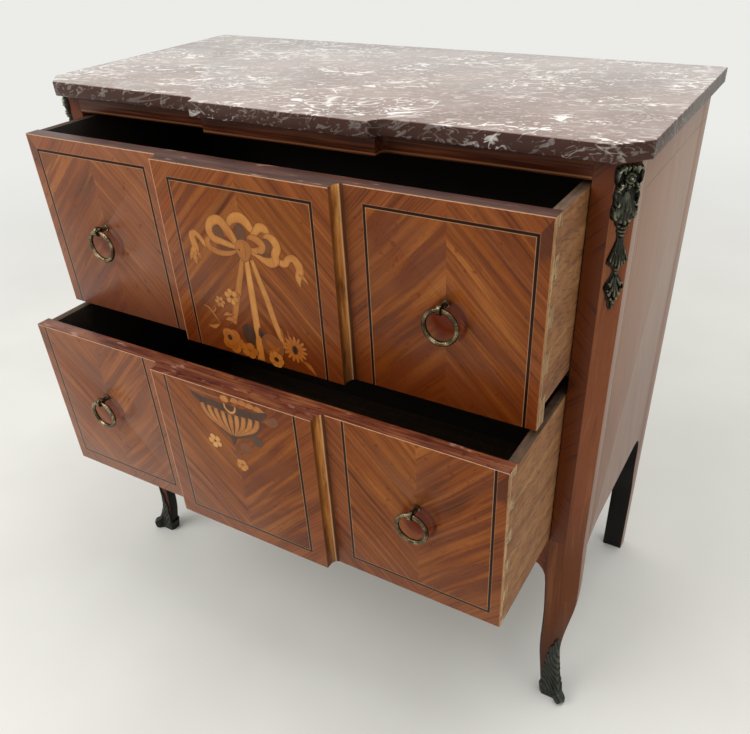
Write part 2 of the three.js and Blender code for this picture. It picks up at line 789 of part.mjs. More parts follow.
// A cast foot: a sleeve round the foot of the leg, a lobed leaf up its outer edge and a scrolled toe
function addSabots() {
  const outerSleeve = frontLeg(fitClear + sabotThick);
  const innerSleeve = frontLeg(fitClear);
  const foot = legStationShares[0];
  const cornerX = carcassHalf + foot[2] * stileWidth;
  const cornerY = foot[3] * stileWidth;
  const footDepth = stileWidth * (1 + foot[4] - foot[3]);
  const turn = Math.PI / 4;

  const leafHeight = sabotTip - sabotCollar;
  const leafOutline = (corner, reach, inward) => {
    const outside = corner - inward * sabotWrap;
    const rim = leafShares.map(([across, up]) => [
      corner + inward * across * reach,
      sabotCollar + up * leafHeight,
    ]);
    return polygon([[outside, 0], [corner + inward * reach, 0], ...rim, [outside, sabotTip]]);
  };
  const frontLeaf = leafOutline(cornerX, leafFrontReach, -1);
  const sideLeaf = leafOutline(cornerY, leafSideReach, 1);
  const frontCutter = fromFront(frontLeaf, cornerY - sabotWrap, cornerY + leafInset);
  const sideCutter = fromSide(sideLeaf, cornerX - leafDrift, cornerX + sabotWrap);

  const wide = 2 * stileWidth;
  const collarCutter = box(
    cornerX - wide, cornerX + wide, cornerY - wide, cornerY + wide, 0, sabotCollar,
  );
  const region = solid(frontCutter).add(solid(sideCutter)).add(solid(collarCutter));

  // The side view of the toe sweeps from the leg's edge out to the top of the scroll
  const sweep = new THREE.Shape();
  const toeTop = 2 * toeRadius;
  sweep.moveTo(-footDepth, fitClear);
  sweep.lineTo(toeReach, fitClear);
  sweep.lineTo(toeReach, toeTop - fitClear);
  sweep.quadraticCurveTo(-toeReach, toeTop, -sabotWrap + fitClear, toeSweepTop);
  sweep.lineTo(-footDepth, toeSweepTop);
  sweep.closePath();
  const halfToe = toeWidth / 2;
  const outward = new THREE.Matrix4().makeBasis(axisY.clone().negate(), axisZ, axisX.clone().negate());
  const bridge = extrude(sweep, toeWidth).applyMatrix4(outward).translate(halfToe, 0, 0);
  const roll = new THREE.CylinderGeometry(toeRadius, toeRadius, toeWidth, eyeSides);
  const bossWidth = toeWidth + 2 * toeBossThick;
  const boss = new THREE.CylinderGeometry(toeBossRadius, toeBossRadius, bossWidth, bossSides);
  for (const part of [roll, boss]) {
    part.rotateZ(Math.PI / 2).translate(0, -toeReach, toeRadius);
  }
  const roundingPlace = toeRounding - toeReach - toeRadius;
  const roundingHeight = 2 * toeSweepTop;
  const rounding = new THREE.CylinderGeometry(toeRounding, toeRounding, roundingHeight, ringSides);
  rounding.rotateX(Math.PI / 2).translate(0, roundingPlace, 0);
  for (const part of [bridge, roll, boss, rounding]) {
    part.rotateZ(turn).translate(cornerX, cornerY, 0);
  }
  const toe = solid(bridge).add(solid(roll)).intersect(solid(rounding)).add(solid(boss));
  const body = solid(outerSleeve).intersect(region).add(toe);
  addPair('sabot', shell(body.subtract(solid(innerSleeve))), bronzeFinish);
}

addCarcass();
addMarble();
addDrawer('upper', {
  base: upperBase,
  pull: upperPull,
  lip: upperLip,
  sideDrop: upperSideDrop,
  eyeRise: upperEyeRise,
});
addDrawer('lower', {
  base: lowerBase,
  pull: lowerPull,
  lip: 0,
  sideDrop: lowerSideDrop,
  eyeRise: lowerEyeRise,
});
addChutes();
addSabots();

// The finished chest stands with the middle of its bounding box over the origin
chest.updateMatrixWorld(true);
const bounds = new THREE.Box3().setFromObject(chest);
chest.position.y = -(bounds.min.y + bounds.max.y) / 2;

export default chest;
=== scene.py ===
# Looks of the commode chest: veneers, marquetry, marble, castings and ring handles, built around
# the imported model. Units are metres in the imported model's frame: X to the right of someone facing
# the front, Y to the back, Z up from the floor. Object coordinates are these same places.
import math

import bmesh
import bpy
import numpy as np
from mathutils import Matrix, Vector
from mathutils.geometry import tessellate_polygon


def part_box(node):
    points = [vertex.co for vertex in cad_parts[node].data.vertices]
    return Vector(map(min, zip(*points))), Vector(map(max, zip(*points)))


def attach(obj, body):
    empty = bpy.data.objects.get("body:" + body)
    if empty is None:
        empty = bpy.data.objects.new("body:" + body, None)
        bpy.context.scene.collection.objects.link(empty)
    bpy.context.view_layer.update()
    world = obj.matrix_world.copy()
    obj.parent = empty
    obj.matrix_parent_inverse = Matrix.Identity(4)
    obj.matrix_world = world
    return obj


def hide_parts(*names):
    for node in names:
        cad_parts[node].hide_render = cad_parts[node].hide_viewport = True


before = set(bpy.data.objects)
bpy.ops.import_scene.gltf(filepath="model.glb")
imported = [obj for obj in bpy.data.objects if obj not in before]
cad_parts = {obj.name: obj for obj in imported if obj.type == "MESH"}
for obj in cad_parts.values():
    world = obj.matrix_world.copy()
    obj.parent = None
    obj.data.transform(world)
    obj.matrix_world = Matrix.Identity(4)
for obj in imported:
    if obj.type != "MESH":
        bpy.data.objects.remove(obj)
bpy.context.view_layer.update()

MM = 0.001
HALF_ROOT = math.sqrt(0.5)
SIDES = (("left", -1), ("right", 1))
LEVELS = ("upper", "lower")

# The photograph's camera
CAMERA_PLACE = (0.5796, -0.8399, 1.0525)
CAMERA_PITCH = math.radians(-35.12)
CAMERA_ROLL = math.radians(-2.26)
CAMERA_YAW = math.radians(30.96)
CAMERA_LENS = 35.98
CAMERA_SHIFT = (-0.0297, 0.0615)

# Layout of the facade, as the imported model has it, and how high up the upper front is painted
# redder and darker as a reflection of the dark lower drawer
BLOCK_HALF = 0.1274
BLOCK_DEPTH = 0.0175
COVE_REACH = 0.009
DRAWER_HALF = 0.3697
SIDE_MIDDLE = 0.257
SIDE_FRAME_HALF = 0.0975
CENTRE_FRAME_HALF = 0.1033
FRAME_MARGIN = 0.0198
HANDLE_PLACE = 0.25755
RING_RADIUS = 0.020
RING_TUBE = 0.003
RING_NOTCHES = 36
RING_STEPS = 144
CHUTE_HALF = 0.0155
REFLECTION_BAND_HEIGHT = 0.085

# Veneer: the noise that reads as pores, the stile's depth, the side's borders, the stile's strips
# and how far below and above the apron's top the leg's tones fade
PORES = (0.60, 0.72)
STILE_SIDE = 0.0427
SIDE_BORDER_TOP = 0.041
SIDE_BORDER_FRONT = 0.0113
STRIP_HEIGHT = 0.14
LEG_FADE = (0.06, 0.18)

# Which faces get which finish: square to an axis, the stile's foot, the free leg, its outer face
SQUARE = 0.9
STILE_FOOT = 0.004
LEG_FREE = 0.1
LEG_OUTER = 0.4

# The castings' meshes, the feet's flutes and the nail rows of the back
CHUTE_ROWS = 321
CHUTE_COLUMNS = 61
FOOT_GRID = 0.9 * MM
TOE_INSET = 9 * MM
FLUTE_PITCH = 15 * MM
MIDRIB_HALF = 2.6 * MM
NAIL_INSET = 0.03
NAIL_DROP = 0.011
NAIL_RISE = 0.004
NAIL_RADIUS = 0.0022

# Marquetry, in millimetres: how far its pieces stand proud and reach in, the width of the scorched
# joint and how far from its rim a flat piece counts as
FIRST_PROUD = 0.05
EACH_PROUD = 0.004
LET_IN = 0.6
JOINT_WIDTH = 0.42
FLAT_RIM = 1.6

# Marble and stage
SPOT_PLACE = (-0.004, -0.074)
SPOT_REACH = (0.0085, 0.0065)
ROOM_WHITE = 0xECECE9
ROOM_LIGHT = 0.74
FLOOR_HALF = 9
FLOOR_FADE = (0.9, 3.4)


def linear(code):
    """A colour written as sRGB hex, as the linear values that Blender's sockets take."""
    shares = [(code >> shift & 255) / 255 for shift in (16, 8, 0)]
    light = (c / 12.92 if c <= 0.04045 else ((c + 0.055) / 1.055) ** 2.4 for c in shares)
    return (*light, 1.0)


def joined_by(operation):
    """The method of Value that joins it to others by one Math node."""
    return lambda value, *others: value.net.node(
        "ShaderNodeMath", {"operation": operation}, dict(enumerate((value, *others))))


class Value:
    """One output of a tree of nodes; sums and products of values add Math nodes."""

    def __init__(self, net, socket):
        self.net, self.socket = net, socket

    __add__ = joined_by("ADD")
    __sub__ = joined_by("SUBTRACT")
    __mul__ = joined_by("MULTIPLY")
    __truediv__ = joined_by("DIVIDE")
    __pow__ = joined_by("POWER")
    __abs__ = joined_by("ABSOLUTE")
    __lt__ = joined_by("LESS_THAN")
    __gt__ = joined_by("GREATER_THAN")
    most = joined_by("MAXIMUM")
    folded = joined_by("PINGPONG")
    sign = joined_by("SIGN")
    sine = joined_by("SINE")

    def __rsub__(self, other):
        return self.net.node("ShaderNodeMath", {"operation": "SUBTRACT"}, {0: other, 1: self})

    def rise(self, low, high):
        """0 below low, 1 above high and a soft step between."""
        return self.net.node("ShaderNodeMapRange", {"interpolation_type": "SMOOTHSTEP"},
                             {"Value": self, "From Min": low, "From Max": high})

    def fall(self, low, high):
        return 1 - self.rise(low, high)

    def band(self, low, full, ebbing, high):
        """1 from full to ebbing, 0 below low and above high."""
        return self.rise(low, full) * self.fall(ebbing, high)


class Net:
    """A tree of nodes. Each call of node adds one, by its type, settings and inputs."""

    def __init__(self, tree):
        self.tree = tree
        tree.nodes.clear()

    def node(self, kind, settings=None, inputs=None, output=0):
        made = self.tree.nodes.new(kind)
        for key, value in (settings or {}).items():
            if key == "stops":
                ramp = made.color_ramp
                while len(ramp.elements) < len(value):
                    ramp.elements.new(0.5)
                for element, (position, code) in zip(ramp.elements, value):
                    element.position, element.color = position, linear(code)
            else:
                setattr(made, key, value)
        for key, value in (inputs or {}).items():
            if isinstance(value, Value):
                self.tree.links.new(value.socket, made.inputs[key])
            else:
                made.inputs[key].default_value = value
        return Value(self, made.outputs[output]) if made.outputs else None


class Finish(Net):
    """A material made of nodes, on Object coordinates or on a piece's own attributes. Stains are
    laid one over the other on its first colour."""

    def __init__(self, name):
        self.material = bpy.data.materials.new(name)
        self.material.use_nodes = True
        super().__init__(self.material.node_tree)
        self.place = self.node("ShaderNodeTexCoord", output="Object")
        self.x, self.y, self.z = (
            self.node("ShaderNodeSeparateXYZ", inputs={"Vector": self.place}, output=axis)
            for axis in "XYZ"
        )

    def noise(self, vector, scale=1.0, detail=2.0, rough=0.5, bend=0.0):
        return self.node("ShaderNodeTexNoise", inputs={
            "Vector": vector, "Scale": scale, "Detail": detail, "Roughness": rough,
            "Distortion": bend})

    def figure(self, x, y, z, **options):
        """Noise over a place of its own, which stretches and shifts it."""
        place = self.node("ShaderNodeCombineXYZ", inputs={"X": x, "Y": y, "Z": z})
        return self.noise(place, **options)

    def streaks(self, scale_x, scale_y, scale_z, detail, seed=0.0):
        """Noise drawn out along the axes of the least scales."""
        return self.figure(
            self.x * scale_x, self.y * scale_y, self.z * scale_z + seed, detail=detail)

    def attribute(self, name):
        return self.node("ShaderNodeAttribute", {"attribute_name": name}, output="Fac")

    def ramp(self, value, *stops):
        """Colour along a value; stops are (place, sRGB hex)."""
        return self.node("ShaderNodeValToRGB", {"stops": stops}, {"Fac": value})

    def over(self, share, below, above):
        """The colour above laid over the one below, by share."""
        above = linear(above) if isinstance(above, int) else above
        settings = {"data_type": "RGBA"}
        return self.node("ShaderNodeMix", settings, {0: share, 6: below, 7: above}, 2)

    def stain(self, share, above):
        self.colour = self.over(share, self.colour, above)

    def surface(self, roughness, height=None, depth=0.0, specular=0.5, coat=0.0,
                coat_roughness=0.03, metallic=0.0):
        """The material with its colour and with bumps of a height, up to depth millimetres."""
        inputs = {
            "Base Color": self.colour, "Roughness": roughness, "Specular IOR Level": specular,
            "Coat Weight": coat, "Coat Roughness": coat_roughness, "Metallic": metallic}
        if height is not None:
            inputs["Normal"] = self.node("ShaderNodeBump", inputs={
                "Height": height, "Distance": depth * MM}, output="Normal")
        return self.shown_by(self.node("ShaderNodeBsdfPrincipled", inputs=inputs))

    def shown_by(self, shader):
        self.node("ShaderNodeOutputMaterial", inputs={"Surface": shader})
        return self.material


# Figured veneers

def grain(finish, across, along, seed, *scales):
    """Noises drawn out along the wood, one for each (scale across, scale along, detail)."""
    return [finish.figure(across * wide, along * long, seed, detail=detail)
            for wide, long, detail in scales]


def sawn(finish, across, along, seed, tight=1.0):
    """Broad ribbon stripes, fine lines and short pores of a sawn veneer."""
    return grain(finish, across, along, seed,
                 (62 * tight, 2.4, 2.5), (480 * tight, 11, 3), (1300, 70, 1))


def veneer_colour(finish, broad, fine, pores, dark, middle, light, pore):
    colour = finish.ramp(
        broad * 0.6 + fine * 0.4, (0.37, dark), (0.45, middle), (0.54, middle), (0.65, light))
    return finish.over(pores.rise(*PORES) * 0.45, colour, pore)


def facade_veneer(name, low, high, peak, ring_height):
    """Drawer front: chevron panels inside a black line, a crossbanded border and worn arrises.
    Peak is 1 on the upper front, whose line closes at its top and whose chevrons point up, and
    -1 on the lower front, where both are the other way up."""
    f = Finish(name)
    rises = peak > 0
    side = abs(f.x)
    on_side = side > BLOCK_HALF
    u = on_side * (side - SIDE_MIDDLE) + (1 - on_side) * f.x
    half = on_side * (SIDE_FRAME_HALF - CENTRE_FRAME_HALF) + CENTRE_FRAME_HALF
    edge = f.z - (high - FRAME_MARGIN) if rises else low + FRAME_MARGIN - f.z
    outside = (abs(u) - half).most(edge)
    border = outside > 0
    wave = f.noise(f.place, 7, 2) * 0.014
    across = (f.z + abs(u) * peak + wave) * HALF_ROOT
    along = (abs(u) - f.z * peak) * HALF_ROOT
    right = u * (on_side * (f.x.sign() - 1) + 1) * peak > 0
    seed = f.x.sign() * 4.3 + on_side * 2.9 + right * 0.55 + border * 9.7 + peak * 21.0
    bands, fine, pores = grain(
        f, across, along, seed, (right * 55 + 50, 7, 1.5), (460, 9, 3), (1300, 80, 1))
    tone = bands * 0.72 + fine * 0.28
    f.colour = f.ramp(tone, (0.31, 0x50260E), (0.45, 0x7C3F15), (0.54, 0x804217), (0.68, 0x9A5A26))
    stripes = f.figure(
        across * (right * 150 + (100 if rises else 135)), along * 5, seed + 7, detail=1)
    f.stain(stripes.rise(0.50, 0.57) * (0.62 - right * 0.2), 0x5A2C1A)
    f.stain(stripes.fall(0.36, 0.46) * (0.34 - right * 0.12), 0x9E6230)
    mauve = f.figure(across * 26, along * 3, seed + 9, detail=1.5)
    f.stain(mauve.rise(0.50, 0.60) * 0.4, 0x6C3A24)
    f.stain(pores.rise(*PORES) * 0.45, 0x3E1A08)
    hairs = f.figure(across * 700, along * 5, seed + 5)
    banding = fine * 0.55 + bands * 0.45
    banding = f.ramp(banding, (0.34, 0x5A2C16), (0.5, 0x7A401C), (0.66, 0x905228))
    banding = f.over(hairs.rise(0.62, 0.70) * 0.6, banding, 0xA04018)
    mitre = (side - DRAWER_HALF) - (f.z - high) * 0.77 > 0
    banding = f.over(mitre * (f.z - high).rise(-0.050, -0.036) * 0.8, banding, 0x4C281A)
    f.stain(border, banding)
    cloud = f.noise(f.place, 9, 3)
    f.stain(cloud.rise(0.45, 0.75) * 0.25, 0x935A28)
    # Painted reflection: the lowest band of the upper front redder and darker, as if it mirrored the
    # dark lower drawer.
    if rises:
        f.stain((f.z - low).fall(0.0, REFLECTION_BAND_HEIGHT) * 0.6, 0x6E2804)

    ring_x = side - HANDLE_PLACE
    ring_z = f.z - ring_height
    reach = (ring_x * ring_x + ring_z * ring_z) ** 0.5
    f.stain(reach.fall(0.0150, 0.0260) * 0.85, 0x641E05)
    # Painted shadow of the ring, with grime from its knocking: a dark arc just outside it, on its
    # outer upper side.
    grime = reach.band(0.0190, 0.0235, 0.0240, 0.0285)
    turn = (ring_x * f.x.sign() + ring_z * 0.5 + 0.006).rise(0.0, 0.020)
    f.stain(grime * turn * 0.8, 0x4A1605)

    # Painted shade: the side panels darker beside the projecting centre block.
    f.stain(on_side * (side - BLOCK_HALF).fall(0.004, 0.016) * 0.4, 0x4A2412)
    f.stain((f.x + BLOCK_HALF).band(-0.0004, 0.0, 0.0010, 0.0016) * 0.65, 0xC8946A)
    # Painted sheen: the panels left of the centre block paler and pinker.
    f.stain((f.x < -BLOCK_HALF) * 0.13, 0xB08A78)

    line = abs(outside + 0.0002)
    lights = line.band(0.0015, 0.0018, 0.0021, 0.0025)
    f.stain(lights * ((outside < 0) * 0.4 + 0.3), 0xB08E68)
    f.stain(line.fall(0.0013, 0.0018), 0x220D06)

    ragged = f.noise(f.place, 260, 2) * 0.0012
    wear = (f.z - high + 0.0016 + ragged).rise(0.0008, 0.0014)
    f.stain(wear * 0.8, 0xD0A27C)
    corner = (side - DRAWER_HALF + 0.0014 + ragged).rise(0.0006, 0.0012)
    f.stain(corner * 0.7, 0xB07A4E)
    chips = f.noise(f.place, 95, 3).rise(0.67, 0.71)
    f.stain(chips * 0.4, 0x4E1C0E)
    return f.surface(
        fine * 0.16 + 0.22, fine + pores * 0.5, 0.05, specular=0.12, coat=0.05, coat_roughness=0.08)


def plain_veneer(name, slant, dark, middle, light, seed, tight=1.0, fade=None, shade=0.0):
    """Veneer with its grain up the piece, leaning by slant. Under fade's first height it has
    taken on fade's three tones, over its second none of them; shade is how much painted shade
    darkens it towards the floor."""
    f = Finish(name)
    wave = f.figure(f.x * 5, f.z * 3.5, seed) * 0.03
    across = f.x + f.z * slant + wave
    broad, fine, pores = sawn(f, across, f.z, f.x.sign() * 3 + seed, tight)
    f.colour = veneer_colour(f, broad, fine, pores, dark, middle, light, dark)
    cloud = f.noise(f.place, 7, 3)
    f.stain(cloud.rise(0.45, 0.8) * 0.2, light)
    if shade:
        # Painted shade, darker towards the floor.
        f.stain(f.z.fall(0.05, 0.24) * shade, 0x26120A)
    if fade:
        lower = veneer_colour(f, broad, fine, pores, *fade[2:], fade[2])
        f.stain((f.z + cloud * 0.06).fall(*fade[:2]), lower)
    return f.surface(
        fine * 0.16 + 0.3, fine + pores * 0.5, 0.05, specular=0.12, coat=0.03, coat_roughness=0.2)


def stile_veneer():
    """The stile's front: strips of diagonal grain that meet in shallow points."""
    f = Finish("stile_veneer")
    fold = f.z.folded(STRIP_HEIGHT)
    across = (fold + abs(f.x)) * HALF_ROOT
    along = (abs(f.x) - fold) * HALF_ROOT
    broad, fine, pores = sawn(f, across, along, 31.0)
    f.colour = veneer_colour(f, broad, fine, pores, 0x3E1A08, 0x602B0B, 0x7A3E14, 0x260F07)
    return f.surface(
        fine * 0.16 + 0.28, fine + pores * 0.5, 0.05, specular=0.2, coat=0.05, coat_roughness=0.2)


def side_panel_veneer(top, front):
    """The outside of the chest: wavy upright grain and a border set off by a thin dark line, with
    painted light that pales it towards the top.
    """
    f = Finish("side_veneer")
    wave = f.figure(f.y * 4, f.z * 2.2, 5.0, detail=3) * 0.05
    ripple = f.figure(f.y * 26, f.z * 16, 2.0) * 0.024
    across = f.y + f.z * 0.12 + wave + ripple
    down = f.z - (top - SIDE_BORDER_TOP)
    ahead = (front + SIDE_BORDER_FRONT) - f.y
    outside = down.most(ahead)
    seed = (down > 0) * 5 + 8 + f.x.sign() * 3
    broad, fine, pores = grain(f, across, f.z, seed, (45, 6, 3), (300, 18, 3), (900, 60, 1))
    tone = broad * 0.7 + fine * 0.3
    f.colour = f.ramp(tone, (0.30, 0x664028), (0.46, 0x7A4C32), (0.54, 0x805236), (0.70, 0x8E5E42))
    f.stain(pores.rise(*PORES) * 0.3, 0x4A2616)
    # Painted light: paler towards the top.
    f.stain((f.z / top).rise(0.45, 0.95) * 0.5, 0xB4927C)
    f.stain(abs(outside).fall(0.0003, 0.0008) * 0.7, 0x2C1710)
    return f.surface(
        fine * 0.14 + 0.34, fine + pores * 0.5, 0.04, specular=0.45, coat=0.14, coat_roughness=0.25)


def hollow_moulding(name, front, low):
    """The coved strip beside the projecting centre: lighter wood, rubbed and stained, with painted
    shade along its outer arris and in the quirk at its root, darker at its foot, and a pale rubbed
    line by the quirk."""
    f = Finish(name)
    streak = f.streaks(260, 260, 24, 4)
    stain = f.streaks(60, 60, 26, 3)
    f.colour = f.ramp(streak, (0.30, 0xA2602A), (0.5, 0xBE7C3E), (0.7, 0xD29650))
    f.stain(stain.rise(0.50, 0.70) * 0.7, 0x5A2C10)
    # Painted shade in the hollow near the outer arris.
    rim = (f.y - front + BLOCK_DEPTH).fall(0.0025, 0.0115)
    f.stain(rim * 0.8, 0x54290F)
    f.stain((f.z - low).fall(0.0, 0.10) * 0.5, 0x4A2410)
    root = BLOCK_HALF + COVE_REACH - abs(f.x)
    f.stain(root.band(0.0050, 0.0054, 0.0060, 0.0066) * 0.6, 0xDCAE7E)
    # Painted shade in the quirk at the root.
    f.stain(root.fall(0.0042, 0.0053) * 0.9, 0x34120A)
    return f.surface(streak * 0.2 + 0.4, streak, 0.1, specular=0.15)


def edge_wood(name, dark, middle, light):
    """The top edges of the drawer fronts: dark polished wood along X, chipped and rubbed."""
    f = Finish(name)
    streak = f.streaks(12, 420, 40, 3)
    patches = f.streaks(18, 60, 0, 2, 3.0)
    f.colour = f.ramp(streak * 0.6 + patches * 0.4, (0.38, dark), (0.5, middle), (0.62, light))
    chips = f.streaks(55, 130, 0, 3, 8.0)
    f.stain(chips.rise(0.60, 0.63) * 0.8, 0x43100C)
    rubbed = f.streaks(26, 90, 0, 4, 1.0)
    f.stain(rubbed.rise(0.62, 0.70) * 0.5, 0xB89080)
    scored = f.streaks(45, 620, 0, 3, 5.0)
    f.stain(scored.rise(0.60, 0.68) * 0.5, light)
    return f.surface(streak * 0.3 + 0.3, streak, 0.1, specular=0.35, coat=0.08, coat_roughness=0.3)


def rail_wood(bottom):
    """The rail under the marble: red-brown, with a light line low down."""
    f = Finish("rail_wood")
    streak = f.streaks(9, 300, 420, 3)
    f.colour = f.ramp(streak, (0.36, 0x38180B), (0.5, 0x522613), (0.66, 0x6C3A20))
    line = abs(f.z - (bottom + 0.0025))
    f.stain(line.fall(0.0006, 0.0012) * 0.6, 0x9C6A45)
    return f.surface(streak * 0.2 + 0.3, streak, 0.06, specular=0.2)


def lining_wood(name, dark, middle, light, along="y", torn=0.0):
    """Bare sawn wood of the drawers and the carcass, with its grain along one axis; torn is how
    dark the splintered marks are."""
    f = Finish(name)
    stretch = {"x": (7, 190, 190), "y": (190, 7, 190), "z": (190, 190, 7)}[along]
    wave = f.noise(f.place, 5, 2) * 0.02
    x, y, z = (a * s for a, s in zip((f.x, f.y + wave, f.z + wave), stretch))
    streak = f.figure(x, y, z, detail=4, rough=0.6)
    broad = f.figure(x * 0.16, y * 0.16, z * 0.16)
    saw = f.figure(f.x * 400, f.y * 60 + f.z * 60, f.z * 300 - f.y * 300)
    mottle = f.noise(f.place, 75, 4)
    tone = streak * 0.42 + broad * 0.3 + mottle * 0.2 + saw * 0.08
    f.colour = f.ramp(tone, (0.36, dark), (0.5, middle), (0.62, light))
    grime = f.noise(f.place, 14, 4)
    f.stain(grime.rise(0.55, 0.75) * 0.4, dark)
    if torn:
        fine_y, fine_z = (38, 260) if along == "y" else (260, 70)
        marks = f.figure(f.x * 300, f.y * fine_y, (f.z + f.y * 0.3) * fine_z, detail=3)
        f.stain(marks.rise(0.56, 0.62) * torn, 0x3A2412)
    return f.surface(streak * 0.2 + 0.62, tone, 0.3)


def marble(top):
    """Mauve-brown marble with white shell flecks, netted veins and grey clouds; its top is paler
    than its edges, partly dulled by use and partly painted light from above."""
    f = Finish("marble")
    warp = f.noise(f.place, 9, 3) * 0.035
    along = f.x * 0.96 + f.y * 0.28 + warp
    across = f.y * 0.96 - f.x * 0.28 + f.z * 0.8 + warp
    cloud = f.figure(along * 7, across * 10, f.z * 7, detail=4)
    f.colour = f.ramp(cloud, (0.34, 0x7A6258), (0.5, 0x8B746A), (0.64, 0x9A8479))
    grey = f.figure(along * 6, across * 12 + 4, f.z * 6, detail=3)
    f.stain(grey.rise(0.52, 0.68) * 0.4, 0x958D87)
    mottle = f.figure(along * 110, across * 170, f.z * 110, detail=3)
    f.stain(mottle.rise(0.52, 0.72) * 0.35, 0xB39C92)
    edge = (f.z - top).fall(-0.0009, -0.0003)
    # The edges darker than the top: partly the top's dulling by use, partly painted light on the top.
    f.stain(edge * 0.93, 0x40241D)

    patch = f.figure(along * 9, across * 17, f.z * 8 + 2)
    plain = edge * (f.x * 0.16 + 0.12)
    patch = patch.rise(plain + 0.44, plain + 0.57)
    veins = ((7, 2.0, 0.010, 0.8, 0.44), (17, 6.0, 0.018, 0.95, 0.48), (34, 3.0, 0.026, 0.8, 0.50))
    for scale, offset, thin, strength, gap in veins:
        field = f.figure(
            along * scale, across * (scale * 1.7) + offset, f.z * scale, detail=2.5, bend=0.6)
        broken = f.figure(along * (scale * 2), across * (scale * 3), offset)
        vein = abs(field - 0.5).fall(0.0, thin) * broken.rise(gap, gap + 0.06)
        seen = (patch * 0.8 + 0.2) * strength * (1 - edge * 0.3)
        f.stain(vein * seen, 0xF2ECE6)
    for scale, offset in ((34, 1.0), (66, 5.0)):
        fleck = f.figure(
            along * scale, across * (scale * 2.4) + offset, f.z * scale * 1.6 + offset,
            detail=1.5, bend=1.2).rise(0.635, 0.65)
        f.stain(fleck * (patch * 0.7 + 0.3) * (0.95 - edge * 0.5), 0xF0E9E3)
    ways = zip((f.x, f.y), SPOT_PLACE, SPOT_REACH)
    spot_x, spot_y = ((way - place) / reach for way, place, reach in ways)
    spot = (spot_x * spot_x + spot_y * spot_y) ** 0.5
    f.stain(spot.fall(0.85, 1.0) * 0.9, 0xF4EFEA)
    return f.surface(
        mottle * 0.12 + 0.24, mottle, 0.03,
        specular=0.15, coat=0.72 - edge * 0.68, coat_roughness=0.1)


def bronze(name, dark, middle, high):
    """Patinated casting: dark in the hollows, rubbed on the relief that the mesh carries."""
    f = Finish(name)
    relief = f.attribute("relief")
    grit = f.noise(f.place, 420, 3)
    cloud = f.noise(f.place, 110, 3)
    tone = relief + (grit - 0.5) * 0.35 + (cloud - 0.5) * 0.5
    f.colour = f.ramp(tone, (0.12, dark), (0.5, middle), (1.0, high))
    shine = 0.48 - tone.rise(0.4, 1.0) * 0.22
    return f.surface(shine, grit, 0.12, metallic=0.55)


def ring_metal():
    """Worn brass of the rings and their eyes, brown in the hollows."""
    f = Finish("ring_metal")
    grit = f.noise(f.place, 700, 3)
    cloud = f.noise(f.place, 90, 3)
    f.colour = f.ramp(cloud * 0.7 + grit * 0.3, (0.35, 0x2A2318), (0.5, 0x5C5039), (0.65, 0xAC9C7C))
    return f.surface(grit * 0.22 + 0.10, grit, 0.08, metallic=0.92)


def inlay_wood(foot):
    """Marquetry woods by each cut piece's own tone, scorched towards the rim; low on the upper front
    they carry the painted reflection that reddens the veneer round them."""
    f = Finish("inlay_wood")
    tone = f.attribute("tone")
    rim = f.attribute("rim")
    streak = f.streaks(300, 20, 60, 3)
    cloud = f.noise(f.place, 60, 3)
    f.colour = f.ramp(
        tone + (streak - 0.5) * 0.16 + (cloud - 0.5) * 0.30, (0.0, 0x26140C), (0.22, 0x4A3826),
        (0.42, 0x7E421A), (0.62, 0xA8682B), (0.8, 0xC4853F), (1.0, 0xD6A263))
    f.stain(rim.fall(0.2, 2.6) * 0.35, 0x80441C)
    # Painted reflection: the lighter pieces turn redder in the band low on the upper front.
    deep = (f.z - foot).fall(0.0, REFLECTION_BAND_HEIGHT) * (f.z > foot)
    f.stain(deep * tone.rise(0.3, 0.5) * 0.6, 0xB05A08)
    return f.surface(streak * 0.15 + 0.24, specular=0.2, coat=0.06, coat_roughness=0.08)


# Meshes

def mesh_piece(name, points=(), faces=(), materials=(), **measures):
    """A mesh object at the origin, with its place in its points and any measures on them."""
    mesh = bpy.data.meshes.new(name)
    mesh.from_pydata([tuple(p) for p in points], [], [tuple(face) for face in faces])
    for material in materials:
        mesh.materials.append(material)
    for key, values in measures.items():
        mesh.attributes.new(key, "FLOAT", "POINT").data.foreach_set("value", values)
    made = bpy.data.objects.new(name, mesh)
    bpy.context.scene.collection.objects.link(made)
    return made


def settle(made, **modifiers):
    """Adds modifiers, keeps the result of all as the plain mesh and removes them."""
    for kind, settings in modifiers.items():
        modifier = made.modifiers.new(kind, kind)
        for key, value in settings.items():
            setattr(modifier, key, value)
    bpy.context.view_layer.update()
    seen = made.evaluated_get(bpy.context.evaluated_depsgraph_get())
    mesh = bpy.data.meshes.new_from_object(seen)
    old = made.data
    made.modifiers.clear()
    made.data = mesh
    mesh.name = made.name
    bpy.data.meshes.remove(old)
    return made


def turn_outwards(made):
    net = bmesh.new()
    net.from_mesh(made.data)
    bmesh.ops.recalc_face_normals(net, faces=net.faces)
    net.to_mesh(made.data)
    net.free()
    return made


def plate_faces(start, count, wide):
    """Faces of a plate whose front and back are each a grid: count rows of wide points."""
    faces = []
    back = count * wide
    for i in range(count - 1):
        first, last = start + i * wide, start + (i + 1) * wide - 1
        for a in range(first, last):
            b = back + a
            faces += [(a, a + 1, a + wide + 1, a + wide), (b, b + wide, b + wide + 1, b + 1)]
        faces += [(a, a + wide, back + a + wide, back + a) for a in (first, last)]
    for first in (start, start + back - wide):
        faces += [(a, a + 1, back + a + 1, back + a) for a in range(first, first + wide - 1)]
    return faces


def seat(made, body, node=None):
    """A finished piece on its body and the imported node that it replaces."""
    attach(made, body)
    if node:
        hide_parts(node)


